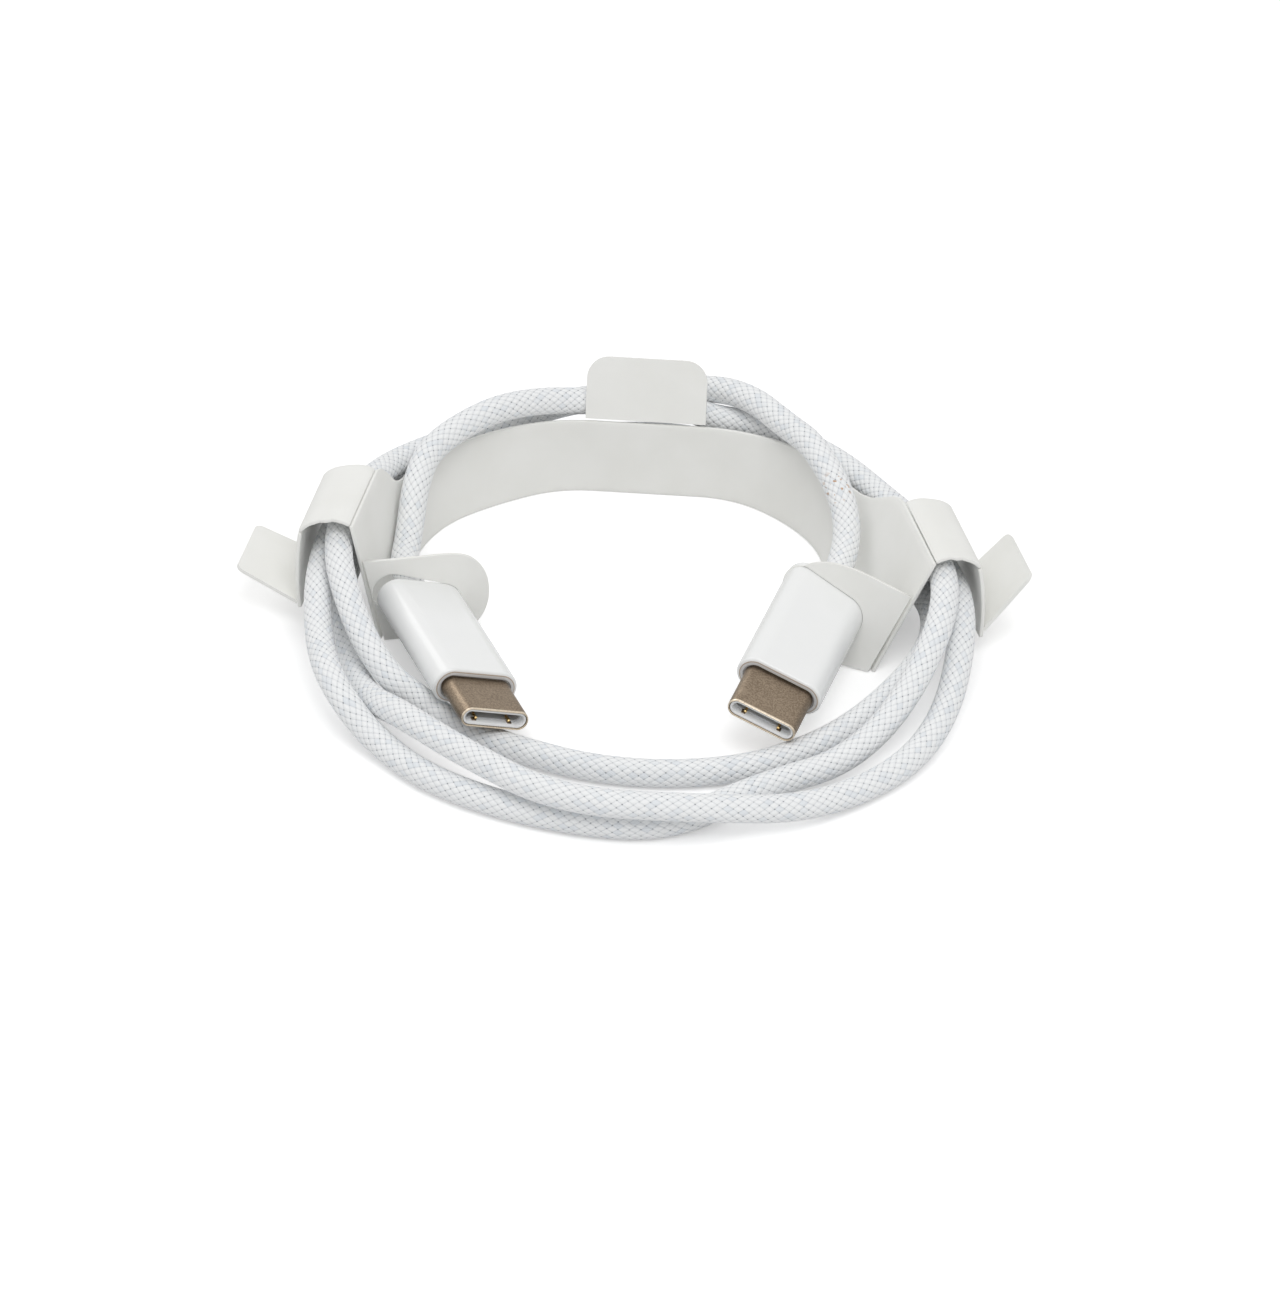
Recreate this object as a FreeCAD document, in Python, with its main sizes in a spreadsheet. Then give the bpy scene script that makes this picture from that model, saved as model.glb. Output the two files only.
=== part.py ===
import FreeCAD, Part
import math
import os
import Sketcher

# A braided charging cable with a USB-C plug on each end, coiled in a folded card holder.
# Millimetres, +Z up, the front of the coil (the plugs) towards -Y.

V = FreeCAD.Vector
C = Sketcher.Constraint
os.makedirs("parts", exist_ok=True)
doc = FreeCAD.newDocument("charging_cable")

# Sizes

SIZES = {
    # cable
    "cable_dia": 3.2,
    "wire_dia": 0.5,
    # plug, seen along its own axis: x from the rear of the housing to the mouth
    "housing_wide": 10.3,
    "housing_thick": 4.5,
    "housing_long": 20.0,
    "housing_wall": 0.75,
    "rear_wall": 3.0,
    "rear_hole": 3.3,
    "edge_round": 0.55,
    "collar_deep": 1.6,
    "collar_recess": 0.25,
    "shell_wide": 8.25,
    "shell_thick": 2.4,
    "shell_wall": 0.25,
    "shell_start": 15.0,
    "mouth_at": 26.65,
    "carrier_front": 25.45,
    "carrier_slot_wide": 6.9,
    "carrier_slot_thick": 1.06,
    "carrier_slot_start": 20.2,
    "contact_pitch": 0.5,
    "contact_wide": 0.22,
    "contact_thick": 0.14,
    "board_start": 7.2,
    "board_long": 7.6,
    "board_wide": 7.4,
    "board_thick": 0.78,
    "can_start": 5.5,
    "can_end": 14.9,
    "can_wide": 8.6,
    "can_thick": 2.8,
    "can_wall": 0.15,
    "ferrule_outer": 2.9,
    "ferrule_inner": 2.5,
    "ferrule_start": 3.1,
    "ferrule_end": 5.3,
    "ferrule_gap": 0.1,
    "latch_thick": 0.25,
    "latch_wide": 6.7,
    "latch_arm": 0.45,
    "latch_start": 15.2,
    "latch_web": 1.3,
    "latch_end": 24.4,
    "spring_wide": 5.4,
    "spring_thick": 0.12,
    "chip_long": 2.2,
    "chip_wide": 2.0,
    "chip_high": 0.7,
    # card holder
    "card": 0.45,
    "band_high": 9.65,
    "fold_gap": 0.3,
    "left_crease_gap": 0.45,
    "right_crease_gap": 0.66,
    "left_ear_gap": 0.45,
    "right_ear_gap": 0.66,
    "left_wall_slope_high": 15.31,
    "right_wall_slope_high": 15.38,
    "left_strap_wide": 12.6,
    "right_strap_wide": 13.4,
    "left_roof_long": 6.3,
    "right_roof_long": 5.6,
    "left_outer_long": 10.3,
    "right_outer_long": 9.5,
    "left_ear_long": 8.5,
    "right_ear_long": 9.1,
    "left_ear_wide": 10.5,
    "right_ear_wide": 10.6,
    "back_tab_wide": 14.2,
    "back_tab_long": 7.8,
    "slot_play": 0.15,
}

sheet = doc.addObject("Spreadsheet::Sheet", "Sizes")
for row, (alias, number) in enumerate(SIZES.items(), start=1):
    sheet.set(f"A{row}", alias.replace("_", " "))
    sheet.set(f"B{row}", str(number))
    sheet.setAlias(f"B{row}", alias)
doc.recompute()

S = SIZES
nodes = []


def value(words):
    """The number an expression gives, worked out by the sheet."""
    return float(sheet.evalExpression(words))


def body(label):
    made = doc.addObject("PartDesign::Body", label)
    made.Label = label
    return made


def origin_plane(owner, role):
    return [one for one in owner.Origin.OriginFeatures if one.Role == role][0]


def new_sketch(owner, role, offset=None):
    made = owner.newObject("Sketcher::SketchObject", "outline")
    made.AttachmentSupport = [(origin_plane(owner, role), "")]
    made.MapMode = "FlatFace"
    if offset:
        made.setExpression("AttachmentOffset.Base.z", offset)
    return made


def bind(sketch, constraint, name, words):
    index = sketch.addConstraint(constraint)
    sketch.renameConstraint(index, name)
    sketch.setExpression(f"Constraints.{name}", words)


def draw_stadium(sketch, wide, thick):
    """A slot outline on the sketch origin, wide along its first axis."""
    half = (value(wide) - value(thick)) / 2
    rad = value(thick) / 2
    up = V(0, 0, 1)
    top = sketch.addGeometry(Part.LineSegment(V(-half, rad, 0), V(half, rad, 0)))
    right = sketch.addGeometry(
        Part.ArcOfCircle(Part.Circle(V(half, 0, 0), up, rad), -math.pi / 2, math.pi / 2))
    bottom = sketch.addGeometry(Part.LineSegment(V(half, -rad, 0), V(-half, -rad, 0)))
    left = sketch.addGeometry(
        Part.ArcOfCircle(Part.Circle(V(-half, 0, 0), up, rad), math.pi / 2, 3 * math.pi / 2))
    sketch.addConstraint(C("Tangent", top, 2, right, 2))
    sketch.addConstraint(C("Tangent", right, 1, bottom, 1))
    sketch.addConstraint(C("Tangent", bottom, 2, left, 2))
    sketch.addConstraint(C("Tangent", left, 1, top, 1))
    sketch.addConstraint(C("Horizontal", top))
    sketch.addConstraint(C("Horizontal", bottom))
    sketch.addConstraint(C("Symmetric", left, 3, right, 3, -1, 1))
    tag = f"n{sketch.GeometryCount}"
    bind(sketch, C("DistanceX", left, 3, right, 3, 2 * half), "reach" + tag, f"({wide}) - ({thick})")
    bind(sketch, C("Radius", right, rad), "round" + tag, f"({thick}) / 2")


def draw_circle(sketch, dia, across="0", up="0"):
    """A circle with its centre at (across, up)."""
    x, y = value(across), value(up)
    ring = sketch.addGeometry(Part.Circle(V(x, y, 0), V(0, 0, 1), value(dia) / 2))
    tag = f"n{sketch.GeometryCount}"
    if across == "0" and up == "0":
        sketch.addConstraint(C("Coincident", ring, 3, -1, 1))
    else:
        place_point(sketch, ring, 3, across, up, tag)
    bind(sketch, C("Radius", ring, value(dia) / 2), "rad" + tag, f"({dia}) / 2")


def place_point(sketch, item, end, across, up, tag):
    if across == "0":
        sketch.addConstraint(C("PointOnObject", item, end, -2))
    else:
        bind(sketch, C("DistanceX", -1, 1, item, end, value(across)), "x" + tag, across)
    if up == "0":
        sketch.addConstraint(C("PointOnObject", item, end, -1))
    else:
        bind(sketch, C("DistanceY", -1, 1, item, end, value(up)), "y" + tag, up)


def draw_polygon(sketch, corners):
    """A closed outline through corners given as pairs of expressions."""
    points = [V(value(a), value(b), 0) for a, b in corners]
    count = len(points)
    lines = []
    for k in range(count):
        lines.append(sketch.addGeometry(Part.LineSegment(points[k], points[(k + 1) % count])))
    for k in range(count):
        sketch.addConstraint(C("Coincident", lines[k], 2, lines[(k + 1) % count], 1))
    for k, (a, b) in enumerate(corners):
        place_point(sketch, lines[k], 1, a, b, f"p{lines[k]}")


def draw_box(sketch, wide, thick, across="0", up="0"):
    """A rectangle with its middle at (across, up)."""
    draw_polygon(sketch, [
        (f"({across}) - ({wide}) / 2", f"({up}) - ({thick}) / 2"),
        (f"({across}) + ({wide}) / 2", f"({up}) - ({thick}) / 2"),
        (f"({across}) + ({wide}) / 2", f"({up}) + ({thick}) / 2"),
        (f"({across}) - ({wide}) / 2", f"({up}) + ({thick}) / 2"),
    ])


def pad(owner, sketch, length, midplane=False, reverse=False):
    made = owner.newObject("PartDesign::Pad", "pad")
    made.Profile = sketch
    made.Midplane = midplane
    made.Reversed = reverse
    made.Length = value(length)
    made.setExpression("Length", length)
    sketch.Visibility = False
    return made


def pocket(owner, sketch, length, midplane=False, reverse=True):
    made = owner.newObject("PartDesign::Pocket", "pocket")
    made.Profile = sketch
    made.Midplane = midplane
    made.Reversed = reverse
    made.Length = value(length)
    made.setExpression("Length", length)
    return made


def fillet(owner, words, pick):
    """Round the edges of the last feature for which pick(edge) is true."""
    doc.recompute()
    tip = owner.Tip
    names = [f"Edge{k}" for k, edge in enumerate(tip.Shape.Edges, 1) if pick(edge)]
    made = owner.newObject("PartDesign::Fillet", "rounding")
    made.Base = (tip, names)
    made.Radius = value(words)
    made.setExpression("Radius", words)
    return made


def node(shape_object, label, place):
    """Keep an object as a named sub-part at its place."""
    shape_object.Label = label
    shape_object.Placement = place
    nodes.append(shape_object)
    return shape_object


def frame_of(origin, x_axis, z_axis):
    """A placement with the given origin, local x and (nearly) local z."""
    x_axis = V(x_axis).normalize()
    y_axis = V(z_axis).cross(x_axis).normalize()
    z_axis = x_axis.cross(y_axis)
    rotation = FreeCAD.Rotation(x_axis, y_axis, z_axis, "XYZ")
    return FreeCAD.Placement(origin, rotation)


# Directions

def heading(degrees, climb=0.0):
    angle = math.radians(degrees)
    return V(math.cos(angle), math.sin(angle), climb).normalize()


UP = V(0, 0, 1)

# The four fold lines of the two side walls, from the photo

LEFT_FOOT = V(-29.6, 3.7, 0)
LEFT_HEADING = 78.2
LEFT_LEAN = 11.5
LEFT_STRAIGHT = 16.65
RIGHT_FOOT = V(27.0, -3.0, 0)
RIGHT_HEADING = 103.4
RIGHT_LEAN = 27.0
RIGHT_STRAIGHT = 18.0
LEFT_BEND = V(-19.7, 30.6, 0)
LEFT_BEND_HEADING = 35.5
RIGHT_BEND = V(19.6, 25.6, 0)
RIGHT_BEND_HEADING = -58.0
BEND_LEAN = (0.5, 0.4)
# the straight run under the back tab grows with the tab, by its share for a tab 14.2 wide
BACK_MIDDLE = V(1.0, 35.175, 0)
BACK_HALF = V(6.2, -0.675, 0) * (S["back_tab_wide"] / 14.2)
BACK_LEFT = BACK_MIDDLE - BACK_HALF
BACK_RIGHT = BACK_MIDDLE + BACK_HALF
BACK_HEADING = math.degrees(math.atan2(BACK_HALF.y, BACK_HALF.x))

left_along = heading(LEFT_HEADING)
left_out = UP.cross(left_along)
right_along = heading(RIGHT_HEADING)
right_out = right_along.cross(UP)


def lean(outward, degrees):
    angle = math.radians(degrees)
    return outward * math.sin(angle) + UP * math.cos(angle)


left_rise = lean(left_out, LEFT_LEAN)
right_rise = lean(right_out, RIGHT_LEAN)


# Curves: two arcs that join two stations

def biarc(start, start_way, end, end_way):
    """The joint and its direction of two arcs that leave and arrive along the given ways."""
    chord = end - start
    ways = start_way + end_way
    spread = 2 * (1 - start_way.dot(end_way))
    along = chord.dot(ways)
    if spread > 1e-9:
        reach = (math.sqrt(along * along + spread * chord.dot(chord)) - along) / spread
    else:
        reach = chord.dot(chord) / (4 * chord.dot(end_way))
    first = start + start_way * reach
    second = end - end_way * reach
    return (first + second) * 0.5, (second - first).normalize()


def arc_edge(start, way, end):
    """An arc through start and end that leaves along way, or a line where it is straight."""
    chord = end - start
    side = chord - way * chord.dot(way)
    if side.Length < 1e-6 * chord.Length:
        return Part.makeLine(start, end)
    side.normalize()
    radius = chord.dot(chord) / (2 * chord.dot(side))
    centre = start + side * radius
    turn = math.atan2(chord.dot(side), chord.dot(way))
    middle = centre - side * (radius * math.cos(turn)) + way * (radius * math.sin(turn))
    return Part.Arc(start, middle, end).toShape()


def biarc_edges(start, start_way, end, end_way):
    joint, way = biarc(start, start_way, end, end_way)
    return [arc_edge(start, start_way, joint), arc_edge(joint, way, end)]


# Card holder: the band

def band_wire(z, left_shift, right_shift, side):
    """One side of the band at one height; side is the offset from the middle of the card."""
    half = side * S["card"] / 2
    back_out = UP.cross(heading(BACK_HEADING))
    left_move = left_out * (left_shift + half) + UP * z
    right_move = right_out * (right_shift + half) + UP * z
    back_move = back_out * half + UP * z
    left_bend_way = heading(LEFT_BEND_HEADING)
    right_bend_way = heading(RIGHT_BEND_HEADING)
    left_bend = UP.cross(left_bend_way) * (left_shift * BEND_LEAN[0] + half) + UP * z
    right_bend = UP.cross(right_bend_way) * (right_shift * BEND_LEAN[1] + half) + UP * z
    points = [
        (LEFT_FOOT + left_move, left_along),
        (LEFT_FOOT + left_along * LEFT_STRAIGHT + left_move, left_along),
        (LEFT_BEND + left_bend, left_bend_way),
        (BACK_LEFT + back_move, heading(BACK_HEADING)),
        (BACK_RIGHT + back_move, heading(BACK_HEADING)),
        (RIGHT_BEND + right_bend, right_bend_way),
        (RIGHT_FOOT + right_along * RIGHT_STRAIGHT + right_move, right_along * -1),
        (RIGHT_FOOT + right_move, right_along * -1),
    ]
    edges = [Part.makeLine(points[0][0], points[1][0])]
    edges += biarc_edges(*points[1], *points[2])
    edges += biarc_edges(*points[2], *points[3])
    edges.append(Part.makeLine(points[3][0], points[4][0]))
    edges += biarc_edges(*points[4], *points[5])
    edges += biarc_edges(*points[5], *points[6])
    edges.append(Part.makeLine(points[6][0], points[7][0]))
    return edges, points[0][0], points[7][0]


def band_section(z):
    left_shift = z * math.tan(math.radians(LEFT_LEAN))
    right_shift = z * math.tan(math.radians(RIGHT_LEAN))
    outer, outer_start, outer_end = band_wire(z, left_shift, right_shift, 1)
    inner, inner_start, inner_end = band_wire(z, left_shift, right_shift, -1)
    edges = outer + [Part.makeLine(outer_end, inner_end)]
    edges += list(reversed(inner)) + [Part.makeLine(inner_start, outer_start)]
    return Part.Wire(Part.__sortEdges__(edges))


band_plate = doc.addObject("Part::Feature", "band_plate")
band_plate.Shape = Part.makeLoft([band_section(0), band_section(S["band_high"])], True, True)

# Card holder: inner walls of the two straps, with the round edges the folds turn on.
# Local x runs back along the wall, local y up the slope, local z is the thickness.


def strap_wall(label, slope_high, strap_wide, crease_high):
    made = body(label)
    outline = new_sketch(made, "XY_Plane")
    draw_polygon(outline, [
        ("0", "1"),
        (f"Sizes.{strap_wide}", "1"),
        (f"Sizes.{strap_wide}", f"Sizes.{slope_high}"),
        ("0.5", f"Sizes.{slope_high}"),
        ("0.5", f"{crease_high} + 1"),
        ("0", f"{crease_high}"),
    ])
    pad(made, outline, "Sizes.card", midplane=True)
    top_bead = new_sketch(made, "YZ_Plane", "0.5")
    draw_circle(top_bead, "Sizes.card", f"Sizes.{slope_high}", "0")
    pad(made, top_bead, f"Sizes.{strap_wide} - 0.5")
    crease_bead = new_sketch(made, "XZ_Plane", "-0.3")
    draw_circle(crease_bead, "Sizes.card")
    pad(made, crease_bead, f"{crease_high} - 0.3", reverse=True)
    return made


LEFT_CREASE = "10.7"
RIGHT_CREASE = "11.3"
left_strap = strap_wall("left_strap_wall", "left_wall_slope_high", "left_strap_wide", LEFT_CREASE)
right_strap = strap_wall("right_strap_wall", "right_wall_slope_high", "right_strap_wide",
                         RIGHT_CREASE)
left_strap.Placement = frame_of(LEFT_FOOT, left_along, left_along.cross(left_rise))
right_strap.Placement = frame_of(RIGHT_FOOT, right_along, right_along.cross(right_rise))

back_bead = doc.addObject("Part::Cylinder", "back_bead")
back_bead.setExpression("Radius", "Sizes.card / 2")
back_bead.setExpression("Height", "Sizes.back_tab_wide")
back_way = heading(BACK_HEADING)
back_start = BACK_MIDDLE - back_way * (S["back_tab_wide"] / 2) + UP * S["band_high"]
back_bead.Placement = FreeCAD.Placement(back_start, FreeCAD.Rotation(UP, back_way))

band = doc.addObject("Part::MultiFuse", "band")
band.Shapes = [band_plate, left_strap, right_strap, back_bead]
node(band, "card_band", FreeCAD.Placement())

# Card holder: folding plates.
# Local x runs along the fold, local y from the fold to the free edge, local z is the thickness.


def plate(label, corners, rounds=(), bead=None, thick="Sizes.card"):
    """A card plate from its outline, with rounded corners and a round edge for the next fold."""
    made = body(label)
    outline = new_sketch(made, "XY_Plane")
    draw_polygon(outline, corners)
    pad(made, outline, thick, midplane=True)
    for spots, radius in rounds:
        points = [(value(a), value(b)) for a, b in spots]

        def chosen(edge, points=points):
            box = edge.BoundBox
            if box.XLength > 1e-4 or box.YLength > 1e-4:
                return False
            return any(math.hypot(box.XMin - a, box.YMin - b) < 1e-3 for a, b in points)

        fillet(made, radius, chosen)
    if bead:
        start, end, height = bead
        ring = new_sketch(made, "YZ_Plane", start)
        draw_circle(ring, "Sizes.card", height, "0")
        pad(made, ring, f"({end}) - ({start})")
    return made


def fold_place(origin, along, across):
    """The placement of a plate that starts at a fold along `along` and runs `across`."""
    return frame_of(origin, along, along.cross(across))


joints = []


def joint(name, origin, axis):
    joints.append((name, V(origin), V(axis).normalize()))


GAP = "Sizes.fold_gap"

# straps: roof, outer wall and ear of the left and of the right side


def strap(side, foot, along, out, rise, slope_high, roof_drop, outer_turn, ear_turn, ear_inset):
    wide = f"Sizes.{side}_strap_wide"
    roof_long = f"Sizes.{side}_roof_long"
    outer_long = f"Sizes.{side}_outer_long"
    ear_long = f"Sizes.{side}_ear_long"
    ear_wide = f"Sizes.{side}_ear_wide"

    roof_way = out * math.cos(math.radians(roof_drop)) - UP * math.sin(math.radians(roof_drop))
    outer_way = out * math.sin(math.radians(outer_turn)) - UP * math.cos(math.radians(outer_turn))
    ear_way = out * math.cos(math.radians(ear_turn)) + UP * math.sin(math.radians(ear_turn))

    roof_at = foot + rise * S[slope_high] + along * 0.5
    outer_at = roof_at + roof_way * S[f"{side}_roof_long"]
    ear_at = outer_at + outer_way * S[f"{side}_outer_long"] + along * ear_inset

    roof = plate(f"{side}_roof", [
        ("0", GAP),
        (f"{wide} - 0.5", GAP),
        (f"{wide} - 0.5", roof_long),
        ("0", roof_long),
    ], bead=("0", f"{wide} - 0.5", roof_long))
    node(roof, f"{side}_roof", fold_place(roof_at, along, roof_way))

    outer = plate(f"{side}_outer_wall", [
        ("0", GAP),
        (f"{wide} - 0.5", GAP),
        (f"{wide} - 0.9", outer_long),
        (f"{ear_inset}", outer_long),
    ], bead=(f"{ear_inset}", f"{ear_inset} + {ear_wide}", outer_long))
    node(outer, f"{side}_outer_wall", fold_place(outer_at, along, outer_way))

    ear_gap = f"Sizes.{side}_ear_gap"
    ear = plate(f"{side}_ear", [
        ("0", ear_gap),
        (ear_wide, ear_gap),
        (f"{ear_wide} - 0.6", ear_long),
        ("0.6", ear_long),
    ], rounds=[([(f"{ear_wide} - 0.6", ear_long), ("0.6", ear_long)], "1")])
    node(ear, f"{side}_ear", fold_place(ear_at, along, ear_way))

    joint(f"{side}_roof", roof_at, along)
    joint(f"{side}_outer_wall", outer_at, along)
    joint(f"{side}_ear", ear_at, along)


strap("left", LEFT_FOOT, left_along, left_out, left_rise, "left_wall_slope_high", 14.5, 1.5, 25, 0.5)
strap("right", RIGHT_FOOT, right_along, right_out, right_rise, "right_wall_slope_high", 15.0, 2.0,
      47, 0.5)

# back tab, leaning back over the turns

BACK_STEEP = 69.0
back_out = UP.cross(back_way)
tab_way = back_out * math.cos(math.radians(BACK_STEEP)) + UP * math.sin(math.radians(BACK_STEEP))
back_tab = plate("back_tab", [
    ("0", GAP),
    ("Sizes.back_tab_wide", GAP),
    ("Sizes.back_tab_wide", "Sizes.back_tab_long"),
    ("0", "Sizes.back_tab_long"),
], rounds=[([("0", "Sizes.back_tab_long"), ("Sizes.back_tab_wide", "Sizes.back_tab_long")], "2.6")])
node(back_tab, "back_tab", fold_place(back_start, back_way, tab_way))
joint("back_tab", back_start, back_way)

# Plugs: where the mouth is and how the plug is turned


def plug_place(mouth, yaw, pitch, roll):
    """Local x from the rear of the housing to the mouth, y across, z through the thickness."""
    yaw, pitch, roll = (math.radians(one) for one in (yaw, pitch, roll))
    ahead = V(math.sin(yaw) * math.cos(pitch), -math.cos(yaw) * math.cos(pitch), -math.sin(pitch))
    side = UP.cross(ahead).normalize()
    above = ahead.cross(side)
    across = side * math.cos(roll) - above * math.sin(roll)
    return frame_of(mouth - ahead * S["mouth_at"], ahead, ahead.cross(across))


LEFT_TAB_WAY = heading(10.5)
RIGHT_TAB_WAY = heading(156.0)
# a wider housing moves the plug away from the crease
FROM_CREASE = S["housing_wide"] / 2 - 5.15
LEFT_PLUG = plug_place(V(-15.8, -20.1, 5.4) + LEFT_TAB_WAY * FROM_CREASE, 20.5, 0.0, 19.0)
RIGHT_PLUG = plug_place(V(13.8, -21.05, 5.9) + RIGHT_TAB_WAY * FROM_CREASE, -18.0, 2.0, 21.0)

# Plug tabs with a slot for each plug.
# Local x runs from the crease to the rounded end, local y up, local z is the thickness.


def plug_tab(side, foot, crease, way, length, high, plug):
    way = V(way).normalize()
    upward = (crease - way * crease.dot(way)).normalize()
    lean_run = crease.dot(way) / crease.dot(upward)
    gap = S[f"{side}_crease_gap"] / math.cos(math.atan(lean_run))
    run = round(lean_run, 5)
    start = round(gap, 5)
    made = body(f"{side}_tab_plate")
    outline = new_sketch(made, "XY_Plane")
    draw_polygon(outline, [
        (f"{start} + 0.2 * {run}", "0.2"),
        (f"{length}", "0.2"),
        (f"{length}", f"{high}"),
        (f"{start} + ({high}) * {run}", f"{high}"),
    ])
    pad(made, outline, "Sizes.card", midplane=True)
    far = value(length)

    def chosen(edge):
        box = edge.BoundBox
        return box.XLength < 1e-4 and box.YLength < 1e-4 and abs(box.XMin - far) < 1e-3

    fillet(made, f"(({high}) - 0.2) * 0.47", chosen)
    made.Placement = frame_of(foot, way, way.cross(upward))
    cutter = body(f"{side}_slot_cutter")
    slot = new_sketch(cutter, "YZ_Plane", "-6")
    draw_stadium(slot, "Sizes.housing_wide + 2 * Sizes.slot_play",
                 "Sizes.housing_thick + 2 * Sizes.slot_play")
    pad(cutter, slot, "20")
    cutter.Placement = plug
    tab = doc.addObject("Part::Cut", f"{side}_tab")
    tab.Base = made
    tab.Tool = cutter
    node(tab, f"{side}_plug_tab", FreeCAD.Placement())
    joint(f"{side}_plug_tab", foot, crease)


plug_tab("left", LEFT_FOOT, left_rise, LEFT_TAB_WAY, "Sizes.housing_wide + 2.6",
         "Sizes.housing_wide + 0.2", LEFT_PLUG)
plug_tab("right", RIGHT_FOOT, right_rise, RIGHT_TAB_WAY, "Sizes.housing_wide + 1.3",
         "Sizes.housing_wide - 0.2", RIGHT_PLUG)

# Plug pieces, the same for both ends


def tube_pad(owner, start, end, wide, thick, inner_wide=None, inner_thick=None):
    outer = new_sketch(owner, "YZ_Plane", start)
    draw_stadium(outer, wide, thick)
    if inner_wide:
        draw_stadium(outer, inner_wide, inner_thick)
    return pad(owner, outer, f"({end}) - ({start})")


def box_pad(owner, start, end, wide, thick, across="0", up="0"):
    outline = new_sketch(owner, "YZ_Plane", start)
    draw_box(outline, wide, thick, across, up)
    return pad(owner, outline, f"({end}) - ({start})")


def at_x(number):
    def chosen(edge):
        box = edge.BoundBox
        return abs(box.XMin - number) < 1e-4 and abs(box.XMax - number) < 1e-4
    return chosen


def cable_plug(side, place):
    def keep(made, name):
        node(made, f"{side}_{name}", place)

    housing = body(f"{side}_housing")
    tube_pad(housing, "0", "Sizes.housing_long", "Sizes.housing_wide", "Sizes.housing_thick")
    fillet(housing, "Sizes.edge_round", at_x(0))
    fillet(housing, "Sizes.edge_round * 0.6", at_x(S["housing_long"]))
    room = new_sketch(housing, "YZ_Plane", "Sizes.rear_wall")
    draw_stadium(room, "Sizes.housing_wide - 2 * Sizes.housing_wall",
                 "Sizes.housing_thick - 2 * Sizes.housing_wall")
    pocket(housing, room, "Sizes.housing_long")
    hole = new_sketch(housing, "YZ_Plane")
    draw_circle(hole, "Sizes.rear_hole")
    pocket(housing, hole, "Sizes.rear_wall + 1")
    keep(housing, "housing")

    collar = body(f"{side}_collar")
    tube_pad(collar, "Sizes.housing_long - Sizes.collar_recess - Sizes.collar_deep",
             "Sizes.housing_long - Sizes.collar_recess",
             "Sizes.housing_wide - 2 * Sizes.housing_wall",
             "Sizes.housing_thick - 2 * Sizes.housing_wall",
             "Sizes.shell_wide", "Sizes.shell_thick")
    keep(collar, "collar")

    shell = body(f"{side}_shell")
    tube_pad(shell, "Sizes.shell_start", "Sizes.mouth_at", "Sizes.shell_wide", "Sizes.shell_thick")
    fillet(shell, "0.12", at_x(S["mouth_at"]))
    bore = new_sketch(shell, "YZ_Plane", "Sizes.shell_start")
    draw_stadium(bore, "Sizes.shell_wide - 2 * Sizes.shell_wall",
                 "Sizes.shell_thick - 2 * Sizes.shell_wall")
    pocket(shell, bore, "Sizes.mouth_at - Sizes.shell_start + 1")
    keep(shell, "shell")

    carrier = body(f"{side}_contact_carrier")
    tube_pad(carrier, "Sizes.shell_start", "Sizes.carrier_front",
             "Sizes.shell_wide - 2 * Sizes.shell_wall - 0.02",
             "Sizes.shell_thick - 2 * Sizes.shell_wall - 0.02",
             "Sizes.carrier_slot_wide", "Sizes.carrier_slot_thick")
    keep(carrier, "contact_carrier")

    level = "(Sizes.carrier_slot_thick - Sizes.contact_thick) / 2"
    for name, height in (("upper", level), ("lower", f"-1 * {level}")):
        contacts = body(f"{side}_{name}_contacts")
        contacts.AllowCompound = True
        strip = new_sketch(contacts, "YZ_Plane", "Sizes.board_start + Sizes.board_long - 1.2")
        draw_box(strip, "Sizes.contact_wide", "Sizes.contact_thick", "-5.5 * Sizes.contact_pitch",
                 height)
        first = pad(contacts, strip, "10.6")
        row = contacts.newObject("PartDesign::LinearPattern", "row")
        row.Originals = [first]
        row.Direction = (strip, ["H_Axis"])
        row.Length = 11 * S["contact_pitch"]
        row.setExpression("Length", "11 * Sizes.contact_pitch")
        row.Occurrences = 12
        contacts.Tip = row
        keep(contacts, f"{name}_contacts")

    latch = body(f"{side}_side_latch")
    fork = new_sketch(latch, "XY_Plane")
    half = "Sizes.latch_wide / 2"
    inner = "Sizes.latch_wide / 2 - Sizes.latch_arm"
    web = "Sizes.latch_start + Sizes.latch_web"
    draw_polygon(fork, [
        ("Sizes.latch_start", f"-1 * ({half})"),
        ("Sizes.latch_end", f"-1 * ({half})"),
        ("Sizes.latch_end", f"-1 * ({inner})"),
        (web, f"-1 * ({inner})"),
        (web, inner),
        ("Sizes.latch_end", inner),
        ("Sizes.latch_end", half),
        ("Sizes.latch_start", half),
    ])
    pad(latch, fork, "Sizes.latch_thick", midplane=True)
    keep(latch, "side_latch")

    springs = body(f"{side}_shield_springs")
    springs.AllowCompound = True
    wall_level = "Sizes.shell_thick / 2 - Sizes.shell_wall - Sizes.spring_thick / 2"
    plates = new_sketch(springs, "YZ_Plane", "Sizes.carrier_front + 0.02")
    draw_box(plates, "Sizes.spring_wide", "Sizes.spring_thick", "0", wall_level)
    draw_box(plates, "Sizes.spring_wide", "Sizes.spring_thick", "0", f"-1 * ({wall_level})")
    pad(springs, plates, "0.8")
    fingers = new_sketch(springs, "YZ_Plane", "Sizes.carrier_front + 0.12")
    finger_level = "Sizes.shell_thick / 2 - Sizes.shell_wall - 0.2"
    for across in ("-2.2", "2.2"):
        draw_box(fingers, "0.5", "0.4", across, finger_level)
        draw_box(fingers, "0.5", "0.4", across, f"-1 * ({finger_level})")
    pad(springs, fingers, "0.5")
    keep(springs, "shield_springs")

    board = body(f"{side}_paddle_board")
    box_pad(board, "Sizes.board_start", "Sizes.board_start + Sizes.board_long", "Sizes.board_wide",
            "Sizes.board_thick")
    keep(board, "paddle_board")

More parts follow.
